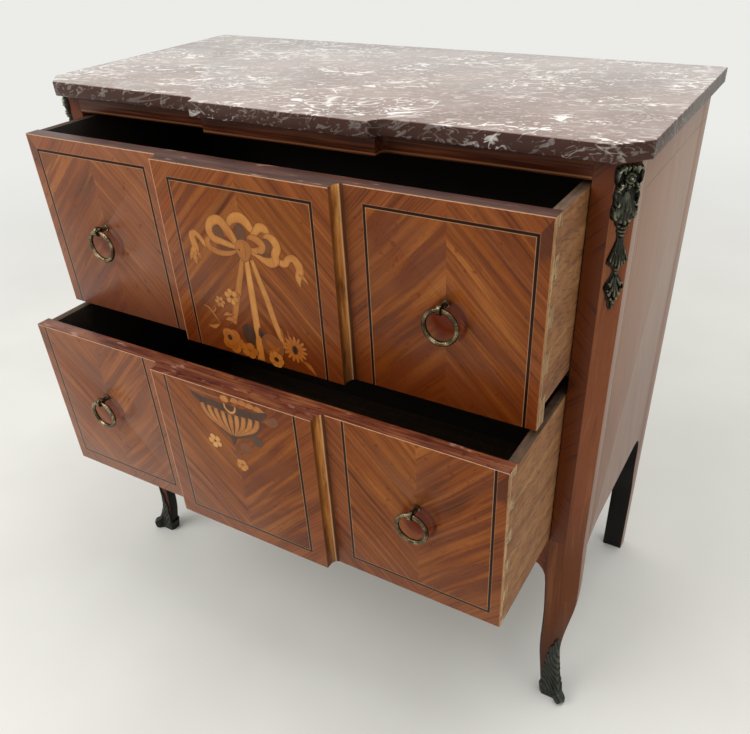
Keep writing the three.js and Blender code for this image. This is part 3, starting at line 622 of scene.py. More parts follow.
def soften(made, degrees):
    """Smooth shading with sharp edges where faces meet at more than these degrees."""
    made.data.polygons.foreach_set("use_smooth", [True] * len(made.data.polygons))
    made.data.set_sharp_from_angle(angle=math.radians(degrees))
    return made


def cad_solid(node):
    """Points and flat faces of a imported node, with its loose triangles merged."""
    net = bmesh.new()
    net.from_mesh(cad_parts[node].data)
    bmesh.ops.remove_doubles(net, verts=net.verts, dist=0.01 * MM)
    bmesh.ops.dissolve_limit(net, angle_limit=math.radians(0.5), verts=net.verts, edges=net.edges)
    points = [v.co.copy() for v in net.verts]
    faces = [[v.index for v in face.verts] for face in net.faces]
    net.free()
    return points, faces


def dress(name, node, body, materials, pick=None, arris=0.0, degrees=40):
    """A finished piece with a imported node's own form, each face in the material that pick numbers
    and its arrises eased by arris millimetres."""
    made = mesh_piece(name, *cad_solid(node), materials)
    if pick:
        picks = [pick(face.normal, face.center) for face in made.data.polygons]
        made.data.polygons.foreach_set("material_index", picks)
    if arris:
        settle(made, BEVEL={"width": arris * MM, "segments": 2, "limit_method": "ANGLE",
                            "angle_limit": math.radians(30)})
    seat(soften(made, degrees), body, node)


# Camera, light and the plain stage

def place_camera():
    camera = bpy.data.objects.new("photo_camera", bpy.data.cameras.new("photo_camera"))
    bpy.context.scene.collection.objects.link(camera)
    place = Matrix.Translation(CAMERA_PLACE)
    turns = ((CAMERA_YAW, "Z"), (math.pi / 2 + CAMERA_PITCH, "X"), (CAMERA_ROLL, "Z"))
    for angle, axis in turns:
        place = place @ Matrix.Rotation(angle, 4, axis)
    camera.matrix_world = place
    camera.data.lens = CAMERA_LENS
    camera.data.shift_x, camera.data.shift_y = CAMERA_SHIFT
    bpy.context.scene.camera = camera


def soft_light(name, place, target, width, power):
    lamp = bpy.data.lights.new(name, "AREA")
    lamp.shape = "SQUARE"
    lamp.size = width
    lamp.energy = power
    made = bpy.data.objects.new(name, lamp)
    bpy.context.scene.collection.objects.link(made)
    direction = Vector(target) - Vector(place)
    turn = direction.to_track_quat("-Z", "Y").to_matrix().to_4x4()
    made.matrix_world = Matrix.Translation(place) @ turn


def set_stage():
    """A pale floor that fades into the white room for the camera alone, and soft lamps."""
    f = Finish("pale_floor")
    pale = f.ramp(f.noise(f.place, 2.5, 3), (0.3, 0xDDDCD6), (0.7, 0xE6E5E0))
    paint = f.node("ShaderNodeBsdfPrincipled", inputs={"Base Color": pale, "Roughness": 0.6})
    room = f.node("ShaderNodeEmission", inputs={"Color": linear(ROOM_WHITE)})
    away = ((f.x * f.x + f.y * f.y) ** 0.5).rise(*FLOOR_FADE)
    seen = f.node("ShaderNodeLightPath", output="Is Camera Ray")
    mixed = f.node("ShaderNodeMixShader", inputs={0: away * seen, 1: paint, 2: room})
    corners = [(x * FLOOR_HALF, y * FLOOR_HALF, 0) for x, y in ((-1, -1), (1, -1), (1, 1), (-1, 1))]
    floor = mesh_piece("floor", corners, [range(4)], [f.shown_by(mixed)])

    world = bpy.data.worlds.new("white_room")
    world.use_nodes = True
    bpy.context.scene.world = world
    net = Net(world.node_tree)
    camera, glossy, through = (
        net.node("ShaderNodeLightPath", output=f"Is {kind} Ray")
        for kind in ("Camera", "Glossy", "Transmission"))
    strength = net.node("ShaderNodeMapRange", inputs={
        "Value": camera.most(glossy).most(through), "To Min": ROOM_LIGHT, "To Max": 1.0})
    light = net.node("ShaderNodeBackground", inputs={
        "Color": linear(ROOM_WHITE), "Strength": strength})
    net.node("ShaderNodeOutputWorld", inputs={"Surface": light})
    soft_light("window", (-1.6, -2.2, 2.9), (0, 0, 0.45), 2.4, 62)
    soft_light("ceiling", (0.6, 0.2, 3.4), (0, 0, 0.5), 2.0, 40)


bpy.context.scene.view_settings.view_transform = "Standard"
place_camera()
set_stage()

# Shared finishes
apron_low, apron_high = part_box("apron")
frieze_low, frieze_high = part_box("frieze_rail")
panel_front = apron_low.y + BLOCK_DEPTH + STILE_SIDE

linings = lining_wood("drawer_lining", 0x62391C, 0x8E5C32, 0xA87A46, torn=0.4)
# Painted shade: near-black linings for the faces inside the drawers.
painted_shade_linings = lining_wood("drawer_inside", 0x120A06, 0x1E130B, 0x2B1C11, along="x")
drawer_floor = lining_wood("drawer_floor", 0x2A1C10, 0x42301C, 0x5C452C, along="x")
front_ends = lining_wood("front_end_grain", 0x6E4C2C, 0xA07C52, 0xC6A878, along="z", torn=0.75)
lining_edges = lining_wood("drawer_top_edge", 0x2E1E13, 0x4E3826, 0x6E523A)
carcass_wood = lining_wood("carcass_wood", 0x4A3421, 0x6A4E33, 0x836545)
carcass_wood_across = lining_wood("carcass_wood_across", 0x3A2818, 0x523A24, 0x6B5035, along="x")
carcass_wood_up = lining_wood("carcass_wood_up", 0x5A4128, 0x7C5D3C, 0x957450, along="z")
side_finish = side_panel_veneer(frieze_high.z, panel_front)
leg_tones = 0x4A2512, 0x68381C, 0x7C4A2A
leg_fade = (apron_high.z - LEG_FADE[0], apron_high.z + LEG_FADE[1], *leg_tones)
# The legs take painted shade towards the floor.
leg_veneer = plain_veneer("leg_veneer", 0.05, *leg_tones, 17.0, shade=0.75)
cant_veneer = plain_veneer(
    "cant_veneer", 0.0, 0x66361F, 0x844B2E, 0x9A603E, 12.0, 1.2, leg_fade)
# Painted shade: near-black veneer for faces that stand in shadow.
painted_shade_veneer = plain_veneer("back_leg_inside", 0.0, 0x0A0705, 0x100B08, 0x16100B, 9.0)
apron_veneer = plain_veneer("apron_veneer", 0.4, 0x48200F, 0x653219, 0x784024, 25.0)
casting = bronze("cast_bronze", 0x0B0C0A, 0x35362B, 0x86846E)
foot_casting = bronze("foot_bronze", 0x0A0C0A, 0x24281F, 0x5A5E4C)
handle_metal = ring_metal()


def dress_fronts():
    """Each drawer front: facade veneer, coved strips, polished top edge and bare wood elsewhere."""
    edges = {"upper": edge_wood("edge_upper", 0x2A140C, 0x422216, 0x583324),
             "lower": edge_wood("edge_lower", 0x3E150A, 0x642B14, 0x86502C)}
    for level, peak in (("upper", 1), ("lower", -1)):
        low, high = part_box(f"drawer_{level}_front")
        ring_height = sum(corner.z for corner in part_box(f"ring_{level}_right")) / 2
        front = low.y + BLOCK_DEPTH
        facade = facade_veneer(f"facade_{level}", low.z, high.z, peak, ring_height)
        cove = hollow_moulding(f"cove_{level}", front, low.z)

        def pick_front(normal, centre):
            ahead = centre.y < front + 0.002
            if normal.y < -0.99 and ahead:
                return 0
            if ahead and abs(centre.x) < SIDE_MIDDLE and abs(normal.z) < 0.5:
                return 1
            if normal.z > SQUARE and centre.z > high.z - 0.001:
                return 2
            if abs(normal.x) > SQUARE and abs(centre.x) > DRAWER_HALF - 0.005:
                return 5
            # The inner face of the front takes the painted shade linings.
            return 4 if normal.y > 0.5 else 3

        def pick_side(normal, centre):
            if normal.z > SQUARE:
                return 2
            # The inner face of a side takes the painted shade linings.
            return 1 if normal.x * centre.x < -0.005 else 0

        body = f"drawer_{level}"
        dress(f"front_{level}", f"{body}_front", body,
              [facade, cove, edges[level], linings, painted_shade_linings, front_ends], pick_front, 0.5)
        for side, _ in SIDES:
            dress(f"side_{level}_{side}", f"{body}_side_{side}", body,
                  [linings, painted_shade_linings, lining_edges], pick_side, 0.4)


def dress_carcass():
    outer = abs(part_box("side_panel_right")[1].x)

    def pick_leg(normal, centre):
        if normal.y < -0.95 and centre.z > apron_high.z - STILE_FOOT:
            return 0
        if centre.z < apron_high.z - LEG_FREE:
            # The inner faces of a free front leg take the painted shade veneer.
            return 4 if normal.x * centre.x < -0.2 else 2
        if abs(normal.x) > 0.4 and normal.y < -0.4:
            return 1
        return 3 if abs(normal.x) > SQUARE and abs(centre.x) > LEG_OUTER else 2

    def pick_panel(normal, centre):
        if abs(centre.x) > outer - 0.001:
            return 0
        # A panel's edges take the painted shade veneer.
        return 1 if abs(normal.x) > SQUARE else 2

    def pick_back_leg(normal, centre):
        if abs(normal.x) > SQUARE and abs(centre.x) > outer - 0.001:
            return 0
        # A back leg's front and inner faces take the painted shade veneer.
        return 2 if normal.y > SQUARE or abs(normal.z) > SQUARE else 1

    dress("marble_slab", "marble_top", "carcass", [marble(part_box("marble_top")[1].z)],
          arris=0.35, degrees=50)
    stile = stile_veneer()
    for side, _ in SIDES:
        dress(f"leg_front_{side}", f"front_leg_{side}", "carcass",
              [stile, cant_veneer, leg_veneer, side_finish, painted_shade_veneer], pick_leg, 0.6, 30)
        dress(f"panel_{side}", f"side_panel_{side}", "carcass",
              [side_finish, carcass_wood_up, painted_shade_veneer], pick_panel, 0.3)
        dress(f"leg_back_{side}", f"back_leg_{side}", "carcass",
              [side_finish, painted_shade_veneer, carcass_wood_up], pick_back_leg, 0.6, 30)
        dress(f"bracket_{side}", f"front_bracket_{side}", "carcass", [apron_veneer],
              arris=0.4)
    dress("apron_board", "apron", "carcass", [apron_veneer], arris=0.4)
    dress("rail_under_slab", "frieze_rail", "carcass", [rail_wood(frieze_low.z)],
          arris=0.4)


def finish_hidden_wood():
    """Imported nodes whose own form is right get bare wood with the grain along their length."""
    for node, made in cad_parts.items():
        if node in ("back_rail", "dividing_rail", "top_board", "bottom_board"):
            material = carcass_wood_across
        elif node.startswith(("runner", "guide", "kicker", "stop")):
            material = carcass_wood
        elif node.startswith("back_board"):
            material = carcass_wood_up
        elif node.startswith("drawer") and node.endswith(("_back", "_bottom")):
            # Drawer backs take the painted shade linings.
            material = drawer_floor if node.endswith("_bottom") else painted_shade_linings
        else:
            continue
        made.material_slots[0].material = material


dress_fronts()
dress_carcass()
finish_hidden_wood()


# Marquetry. Places are millimetres: across from the panel's middle, then down from the front's
# top edge. Each cut piece is a strip: its tone, its middle line and its half widths.

def unit(rows):
    """Each row at a length of 1."""
    return rows / np.maximum(np.linalg.norm(rows, axis=1, keepdims=True), 1e-6)


def curve_through(rows, steps):
    """A smooth line through rows of numbers, with steps places to each stretch."""
    rows = np.array(rows, float)
    ends = np.vstack([2 * rows[0] - rows[1], rows, 2 * rows[-1] - rows[-2]])
    made = []
    for i in range(1, len(ends) - 2):
        a, b, c, d = ends[i - 1:i + 3]
        for t in np.arange(steps) / steps:
            made.append(0.5 * (2 * b + (c - a) * t + (2 * a - 5 * b + 4 * c - d) * t ** 2
                               + (3 * b - a - 3 * c + d) * t ** 3))
    made.append(rows[-1])
    return np.array(made)


class Marquetry:
    """Thin cut pieces let into the facade over scorched joints, each a hair above the last."""

    def __init__(self, level):
        self.level = level
        low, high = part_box(f"drawer_{level}_front")
        self.top, self.front = high.z, low.y
        self.points, self.faces, self.tones, self.rims = [], [], [], []
        self.laid = 0

    def point(self, across, down, depth, tone, rim):
        self.points.append((across * MM, self.front - depth * MM, self.top - down * MM))
        self.tones.append(tone)
        self.rims.append(rim)

    def depths(self):
        """How far the next piece stands proud of the veneer, and how deep it is let in."""
        self.laid += 1
        return FIRST_PROUD + EACH_PROUD * self.laid, -LET_IN

    def lay(self, tone, line):
        """Quads along a middle line of (across, down, half width)."""
        slope = unit(np.gradient(line[:, :2], axis=0))
        normal = np.stack([-slope[:, 1], slope[:, 0]], 1)
        run = np.concatenate([[0], np.cumsum(np.linalg.norm(np.diff(line[:, :2], axis=0), axis=1))])
        to_end = np.minimum(run, run[-1] - run)
        shares = np.linspace(-1, 1, 5)
        self.faces += plate_faces(len(self.points), len(line), len(shares))
        for depth in self.depths():
            for i, (x, down, half) in enumerate(line):
                for share in shares:
                    px, pd = np.array([x, down]) + normal[i] * half * share
                    rim = min((1 - abs(share)) * half, to_end[i] + 0.15)
                    self.point(px, pd, depth, tone, rim)

    def strip(self, tone, *rows, joint=JOINT_WIDTH):
        """Rows are (across, down, half width), along the piece; joint is its dark outline."""
        line = curve_through(rows, 7)
        line[:, 2] = np.maximum(line[:, 2], 0.05)
        if joint:
            self.lay(JOINT, line + (0, 0, joint))
        self.lay(tone, line)

    def cut(self, tone, *outline, joint=JOINT_WIDTH):
        """A flat piece inside a closed outline of (across, down) places."""
        loop = curve_through(list(outline) + [outline[0]], 5)[:-1]
        following = np.roll(loop, -1, 0)
        slope = unit(following - np.roll(loop, 1, 0))
        area = np.sum(loop[:, 0] * following[:, 1] - following[:, 0] * loop[:, 1])
        outward = np.stack([slope[:, 1], -slope[:, 0]], 1) * np.sign(area)
        layers = [(JOINT, loop + outward * joint)] if joint else []
        for shade, edge in layers + [(tone, loop)]:
            start, count = len(self.points), len(edge)
            for depth in self.depths():
                for x, down in edge:
                    self.point(x, down, depth, shade, FLAT_RIM)
            flat = [Vector((x, down, 0)) for x, down in edge]
            for triangle in tessellate_polygon([flat]):
                self.faces.append([start + k for k in triangle])
                self.faces.append([start + count + k for k in reversed(triangle)])
            for k in range(count):
                a, b = start + k, start + (k + 1) % count
                self.faces.append((a, b, b + count, a + count))

    def leaf(self, tone, x0, d0, x1, d1, half, bend=0.0, joint=0.3):
        """A pointed leaf between two places, bowed sideways by bend."""
        mx, md = (x0 + x1) / 2, (d0 + d1) / 2
        length = math.hypot(x1 - x0, d1 - d0)
        nx, nd = -(d1 - d0) / length * bend, (x1 - x0) / length * bend
        near = (x0 * 0.45 + mx * 0.55 + nx * 0.8, d0 * 0.45 + md * 0.55 + nd * 0.8, half * 0.85)
        self.strip(tone, (x0, d0, 0.3), near, (mx + nx, md + nd, half), (x1, d1, 0.1), joint=joint)

    def flower(self, tone, x, down, reach, petals, width, core, core_tone=0.05, turn=0.0):
        for k in range(petals):
            a = turn + 2 * math.pi * k / petals
            ux, ud = math.cos(a), math.sin(a)
            rows = [(x + ux * reach * share, down + ud * reach * share, width * wide)
                    for share, wide in ((0.15, 0.4), (0.62, 1.0), (0.9, 0.72), (1.0, 0.12))]
            self.strip(tone + 0.05 * (k % 2), *rows, joint=0.25)
        self.disc(core_tone, x, down, core, core)

    def disc(self, tone, x, down, half_width, half_height):
        rows = [(x, down + s * half_height, half_width * math.sqrt(max(1 - s * s, 0.002)))
                for s in (-1, -0.8, -0.4, 0, 0.4, 0.8, 1)]
        self.strip(tone, *rows, joint=0.35)

    def piece(self):
        made = mesh_piece(f"marquetry_{self.level}", self.points, self.faces, [inlay],
                          tone=self.tones, rim=self.rims)
        seat(turn_outwards(made), f"drawer_{self.level}")


inlay = inlay_wood(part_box("drawer_upper_front")[0].z)
HONEY, TAN, PALE, ORANGE, SHADE, OLIVE, DARK, JOINT = 0.70, 0.62, 0.86, 0.50, 0.04, 0.20, 0.0, 0.1


def bow_and_flowers():
    m = Marquetry("upper")
    # long ribbons from the knot
    m.strip(TAN, (-6, 105, 3), (-14, 130, 4.2), (-22, 154, 4.6), (-30, 177, 4.4), (-37, 198, 4))
    m.strip(HONEY, (9, 103, 3), (17, 130, 4.2), (24, 152, 4.5), (30, 176, 4.5), (37, 198, 4.3),
            (44, 216, 2.6))
    m.strip(0.76, (1, 104, 3.6), (1, 138, 4.8), (1, 170, 5.2), (1, 206, 5.4), (0, 243, 5.6))
    # tails
    m.strip(HONEY, (-55, 98, 1.6), (-62, 95, 3.2), (-68, 88, 3.5), (-75, 83, 3.9), (-81, 87, 5),
            (-80, 96, 5.2), (-79, 104, 5.6), (-84, 110, 5.2), (-88, 115, 2.6))
    m.leaf(HONEY, -86, 107, -91, 121, 3.2, -1)
    m.leaf(HONEY, -82, 109, -81, 127, 3.6, 1)
    m.leaf(TAN, -79, 106, -72, 118, 2.6, -1)
    m.strip(HONEY, (45, 92, 2), (52, 98, 4), (59, 98, 4.4), (65, 91, 4.2), (72, 90, 5),
            (78, 97, 5.8), (79, 105, 5.4), (76, 113, 4.6), (77, 124, 0.4))
    m.leaf(TAN, 76, 108, 90, 119, 2.2, -2)
    # loops
    m.cut(0.30, (-10, 65), (-3, 61), (3, 65), (5, 73), (3, 81), (-4, 84), (-8, 77))
    m.strip(HONEY, (-20, 66, 2.4), (-15, 58, 5), (-6, 53, 6.2), (3, 53, 6.6), (10, 58, 5.8),
            (15, 64, 4.6), (22, 66, 1.6))
    m.cut(0.30, (-43, 68), (-37, 66), (-31, 73), (-29, 82), (-36, 85), (-42, 79))
    m.strip(TAN, (-52, 84, 2.4), (-57, 91, 4.4), (-54, 98, 4.6), (-46, 101, 4.2), (-35, 102, 3.6),
            (-23, 100, 3), (-12, 95, 1.4))
    m.strip(HONEY, (-11, 91, 2), (-22, 89, 3.8), (-34, 87, 4.2), (-45, 85, 5), (-51, 77, 5.2),
            (-48, 67, 5.6), (-40, 61, 5.8), (-31, 61, 6.2), (-24, 68, 6.4), (-17, 77, 6),
            (-10, 87, 3.4))
    for shift in (-3, 0, 3):
        m.strip(ORANGE, (-27 + shift, 68, 0.2), (-21 + shift * 0.8, 77, 0.35),
                (-13 + shift * 0.3, 86, 0.2), joint=0)
    m.strip(OLIVE, (-44, 93, 0.5), (-32, 95, 1.5), (-18, 94, 0.5), joint=0)
    m.strip(HONEY, (14, 71, 2), (21, 66, 4.4), (27, 60, 5.2), (34, 60, 5.6), (38, 66, 4.4),
            (34, 71, 1.6))
    m.cut(0.30, (31, 73), (37, 73), (41, 79), (39, 88), (33, 90), (31, 83))
    m.strip(HONEY, (32, 70, 1.4), (40, 69, 4.6), (47, 73, 5.6), (50, 81, 5.4), (46, 89, 5.6),
            (45, 97, 6), (37, 101, 6), (28, 99, 4.6), (18, 95, 3.2), (8, 92, 1.2))
    m.strip(TAN, (7, 76, 1.2), (14, 74, 3.8), (22, 76, 5), (28, 81, 5.2), (26, 87, 4.8),
            (18, 90, 4.2), (9, 89, 1.8))
    m.strip(OLIVE, (19, 92.5, 0.5), (28, 94, 1.6), (36, 94.5, 0.5), joint=0)
    # knot
    m.cut(0.56, (-9, 81), (-1, 79), (7, 81), (11, 88), (9, 96), (5, 103), (-2, 107), (-8, 103),
          (-12, 96), (-13, 88))
    m.cut(DARK, (-8, 91), (-6.6, 92.6), (-8, 94.4), (-9.2, 92.6), joint=0)
    m.strip(0.42, (-2, 84, 0.2), (2, 92, 0.5), (0, 103, 0.2), joint=0)
    # flowers and leaves at the foot of the ribbons
    m.strip(0.5, (-33, 168, 0.4), (-36, 182, 0.7), (-42, 200, 0.4), joint=0)
    m.strip(TAN, (-84, 182, 0.3), (-76, 184, 1.1), (-68, 193, 1.1), (-60, 204, 0.4), joint=0.2)
    m.strip(TAN, (-72, 190, 0.3), (-66, 186, 0.9), (-62, 178, 0.3), joint=0.2)
    m.flower(0.74, -33, 160, 11.5, 6, 4, 2.2, OLIVE, 0.3)
    m.flower(0.66, -54, 171, 8.5, 6, 2.8, 1.5, OLIVE)
    m.leaf(TAN, -22, 152, -18, 158, 1.6, 1)
    m.leaf(TAN, -52, 190, -34, 186, 2.6, -2)
    m.leaf(0.6, -50, 196, -30, 193, 3, -2)
    m.leaf(TAN, -82, 211, -60, 204, 2.6, 3)
    m.cut(SHADE, (-24, 201), (-16, 194), (-8, 196), (-4, 205), (-6, 218), (-14, 226), (-22, 216))
    m.leaf(SHADE, 5, 194, 15, 216, 4.6, 2)
    m.cut(0.36, (8, 206), (18, 199), (30, 202), (40, 212), (38, 226), (26, 232), (12, 230),
          (6, 218))
    m.leaf(0.44, 12, 208, 34, 222, 4.2, 3)
    m.leaf(0.46, 14, 226, 36, 214, 3.6, 3)
    m.leaf(0.44, 40, 186, 44, 206, 1.8, 1)
    m.leaf(0.44, 49, 186, 50, 202, 1.6, -1)
    for turn, tone in ((0.1, 0.46), (1.35, 0.54), (2.6, 0.48), (3.9, 0.56), (5.1, 0.5)):
        x, down = -43 + 9 * math.cos(turn), 225 + 9 * math.sin(turn)
        m.disc(tone, x, down, 9.5, 9)
    m.strip(0.58, (-58, 222, 0.6), (-56, 214, 2.4), (-49, 211, 2.8), (-42, 214, 2.6),
            (-39, 222, 0.8))
    m.strip(0.44, (-55, 232, 0.6), (-48, 236, 2.4), (-40, 233, 2.4), (-36, 226, 0.6))
    m.disc(0.6, -48, 221, 6, 6.6)
    m.disc(SHADE, -48, 221, 3.8, 4.6)
    for turn in range(5):
        x, down = -17 + 7.5 * math.cos(turn * 1.256), 233 + 6.5 * math.sin(turn * 1.256)
        m.disc(0.5 + 0.04 * (turn % 3), x, down, 6.2, 5.6)
    m.disc(0.4, -17, 233, 2.4, 2.4)
    m.flower(0.56, 58, 212, 19, 15, 2.3, 4.4, SHADE, 0.15)
    m.disc(SHADE, 58, 213, 4, 6.4)
    m.leaf(0.44, 68, 226, 88, 243, 3, -2)
    m.flower(0.72, 26, 235, 12, 7, 5, 3.4, DARK, 0.2)
    m.piece()


def urn():
    m = Marquetry("lower")
    # faint leaves behind
    m.cut(0.36, (54, 26), (64, 18), (74, 14), (78, 22), (68, 30), joint=0.15)
    m.cut(0.36, (10, 74), (22, 70), (28, 80), (18, 88), (8, 84), joint=0.15)
    m.leaf(0.34, -8, 88, 12, 98, 4.2, 3, joint=0.15)
    # leafy rim, worn away on the left
    m.strip(0.46, (-72, 5, 0.8), (-56, 9, 2.4), (-40, 10, 2), (-24, 11, 1.6), (-10, 11, 0.8))
    m.cut(SHADE, (-62, 13), (-40, 17), (-10, 18), (14, 17), (40, 17), (62, 11), (54, 23), (40, 27),
          (14, 29), (-12, 28), (-36, 26), (-52, 23))
    for x, down, reach in ((14, 8, 9), (26, 8, 10), (38, 9, 10), (50, 10, 9)):
        m.leaf(TAN, x - reach, down + 2.5, x + reach, down + 0.5, 4.2, -2.5)
    # bowl with its flutes
    m.cut(0.10, (-49, 25), (-43, 38), (-34, 50), (-19, 61), (-4, 68), (4, 68), (19, 62), (34, 53),
          (45, 42), (51, 26), (26, 31), (0, 32), (-26, 30))
    flutes = 9
    for k in range(flutes):
        share = (k - (flutes - 1) / 2) / ((flutes - 1) / 2)
        top = 31 - 4 * abs(share)
        foot = 66 - 4 * abs(share)
        m.strip(TAN + 0.05 * (k % 2), (45 * share, top, 2.9), (42.5 * share, top + 9, 3.6),
                (34 * share, top + 20, 2.9), (10 * share, foot, 0.7))
    # ring over the band
    m.disc(0.66, -4, 9, 7, 5.4)
    m.strip(PALE, (-6, 16, 1), (-5, 23, 1.5), (2, 28, 1.6), (9, 25, 1.5), (12, 17, 1))
    # finial, leaf and small flowers
    m.cut(SHADE, (-7, 67), (-1, 65), (5, 67), (3, 72), (0, 79), (-3, 79), (-4, 72))
    m.cut(OLIVE, (29, 58), (38, 53), (47, 57), (47, 64), (40, 69), (33, 67))
    m.flower(PALE, -35, 85, 11.5, 5, 4.6, 1.6, SHADE, 0.5)
    m.flower(0.68, 6, 111, 10, 5, 4.8, 1, 0.5, 0.2)
    m.piece()


bow_and_flowers()
urn()


# Castings. A corner mount is a field of soft lobes over a thin plate.

CHUTE_OUTLINE = (
    # down, half width
    (0, 13), (4, 15.2), (10, 15.5), (17, 14.6), (21, 12.6), (26, 13.4), (31, 14.6), (37, 13.6),
    (43, 14.6), (50, 15.4), (55, 13.6), (58, 9), (62, 8), (65, 5.2), (69, 5.4), (73, 4.2),
    (78, 3.8), (84, 5.6), (92, 8.8), (99, 11.6), (104, 12.2), (107, 8.8), (110, 4.2), (114, 3.2),
    (119, 5), (126, 9.4), (132, 11.4), (137, 10), (141, 7.6), (147, 7), (150, 4.4), (154, 4.4),
    (158, 2.4), (160, 0.5),
)

SCROLLS = (
    # across, down, half width, half height, tube, height, lean, gap
    (10.2, 13, 3.6, 10, 1.5, 8.5, -3, 0.5), (10.6, 33, 2.6, 8, 1.3, 7.6, 4, 0.6),
    (8.2, 130.5, 2.2, 4.2, 1, 6.6, -14, 0.7),
)
DOMES = (
    # across, down, half width, half height, height, lean, height at the rim
    (8.6, 19.5, 1.9, 2.4, 7.5), (14.2, 6, 1.3, 5, 7.4, 4), (0, 13, 2.7, 3, 10.8),
    (4.2, 20, 1.5, 4.6, 6.4, -22), (13.4, 45, 1.6, 5, 7.2, 12), (10.6, 53.5, 2.6, 2.2, 7.8, 20),
    (4.8, 57, 3, 2.8, 8, -20), (0, 58.5, 2.2, 4, 8.4), (5.2, 62, 2.2, 1.9, 6.4),
    (10.2, 99.5, 1.5, 2.4, 7.4, 15), (5.2, 92, 0.8, 4, 8.2, 12), (0, 110.5, 3.4, 2.4, 5.4, 0, 1.2),
    (0, 115, 2.3, 2.6, 5, 0, 1.2), (6.2, 139.5, 1.8, 2.8, 6.6, 25), (3, 145, 2, 2.8, 6.8, 20),
    (0, 149, 2.4, 3, 6.4), (0, 155, 1.6, 3.8, 4.6),
)
PETALS = (
    # from across, from down, to across, to down, half width, height
    (4.6, 9, 7.4, 0.6, 1.9, 9), (2.6, 9, 2.6, 0.8, 1.6, 8.6), (0, 26, 0, 19.6, 1.8, 9),
    (0, 25, 0, 47, 2.1, 9.2), (1.6, 26, 4.6, 49, 1.9, 8.6), (3.2, 30, 8.4, 52, 2, 8.2),
    (6, 38, 12.6, 53, 2.2, 7.8), (2.2, 76, 10.4, 101, 1.6, 6.4), (1.5, 75.5, 7, 104.5, 1.5, 7),
    (0.8, 75, 3.6, 106, 1.4, 8.4), (0, 75, 0, 107.5, 1.5, 9.4), (0, 117, 0, 142, 1.2, 8.8),
    (0.8, 118, 6.4, 130, 1.5, 7), (0.6, 120, 3, 136, 1.1, 7.6), (1.6, 130, 5.8, 141, 1.5, 7.2),
)


class Relief:
    """Heights of a modelled casting above its back, in millimetres, over (across, down). What
    stands off the middle line is modelled on both sides of it."""

    def __init__(self, across, down):
        self.across, self.down = across, down
        self.height = np.full(across.shape, 1.0)

    def raise_to(self, wanted):
        self.height = np.maximum(self.height, wanted)

    def ovals(self, x, down, wide, tall, lean):
        """For each side its sign, the way from the oval's middle and that way's shares of it."""
        for sign in (1, -1) if x else (1,):
            turn = math.radians(lean) * sign
            dx, dd = self.across - x * sign, self.down - down
            u = (dx * math.cos(turn) + dd * math.sin(turn)) / wide
            v = (dd * math.cos(turn) - dx * math.sin(turn)) / tall
            yield sign, dx, dd, u, v

    def dome(self, x, down, wide, tall, rise, lean=0.0, foot=0.0):
        for _, _, _, u, v in self.ovals(x, down, wide, tall, lean):
            inside = 1 - u * u - v * v
            lifted = foot + (rise - foot) * np.sqrt(np.clip(inside, 0, 1))
            self.raise_to(np.where(inside > 0, lifted, 0))

    def scroll(self, x, down, wide, tall, tube, rise, lean, gap):
        """A rolled ridge along an oval, open towards the middle by gap radians each way."""
        for sign, dx, dd, u, v in self.ovals(x, down, wide, tall, lean):
            reach = np.maximum(np.hypot(dx, dd), 0.01)
            off = (1 - 1 / np.maximum(np.hypot(u, v), 0.01)) * reach / tube
            facing = np.abs(np.arctan2(v, -u * sign))
            ridge = np.sqrt(np.clip(1 - off * off, 0, 1)) * (facing > gap)
            self.raise_to(np.where(ridge > 0, rise * (0.45 + 0.55 * ridge), 0))

    def petal(self, x0, down0, x1, down1, wide, rise):
        """A long leaf that widens to its tip, creased down its middle."""
        for sign in (1, -1) if x1 else (1,):
            ax, bx = x0 * sign, x1 * sign
            length = math.hypot(bx - ax, down1 - down0)
            ux, ud = (bx - ax) / length, (down1 - down0) / length
            dx, dd = self.across - ax, self.down - down0
            t = (dx * ux + dd * ud) / length
            off = abs(dx * ud - dd * ux)
            half = wide * np.clip(t * 1.9 + 0.25, 0, 1) * np.sqrt(np.clip((1.04 - t) * 6, 0, 1))
            inside = np.clip(1 - (off / np.maximum(half, 0.01)) ** 2, 0, 1)
            crease = 1 - 0.22 * np.exp(-(off / 0.45) ** 2)
            lifted = rise * (0.45 + 0.55 * t) * (0.5 + 0.5 * inside ** 0.6) * crease
            self.raise_to(np.where((t > 0) & (t < 1.04) & (inside > 0), lifted, 0))


def chute_relief(across, down):
    """Tall scrolls beside a palmette and a rosette, a ribbed body, then two hanging husks."""
    r = Relief(across, down)
    body = np.clip(1 - (across / 11.0) ** 2, 0, 1)
    ribs = 0.72 + 0.28 * np.abs(np.cos(across * 0.85))
    swell = np.clip((down - 30) / 10, 0, 1) * np.clip((61 - down) / 3, 0, 1)
    r.raise_to(1.0 + 5.5 * np.sqrt(body) * ribs * swell)
    for form, rows in ((r.scroll, SCROLLS), (r.dome, DOMES), (r.petal, PETALS)):
        for row in rows:
            form(*row)
    for degrees in (-90, -30, 30, 90):
        ux, ud = math.cos(math.radians(degrees)), math.sin(math.radians(degrees))
        r.petal(1.2 * ux, 13.0 + 1.2 * ud, 5.4 * ux, 13.0 + 5.8 * ud, 2.5, 9.4)
    for place, wide in ((64.5, 4.2), (68.4, 4.9), (72.4, 3.4)):
        r.dome(0.0, place, wide, 2.2, 6.6, 0, 1.2)
    return r.height


def smoothed(field, rounds):
    field = field.copy()
    for _ in range(rounds):
        field[1:-1, 1:-1] = (field[1:-1, 1:-1] * 2 + field[:-2, 1:-1] + field[2:, 1:-1]
                             + field[1:-1, :-2] + field[1:-1, 2:]) / 6
    return field


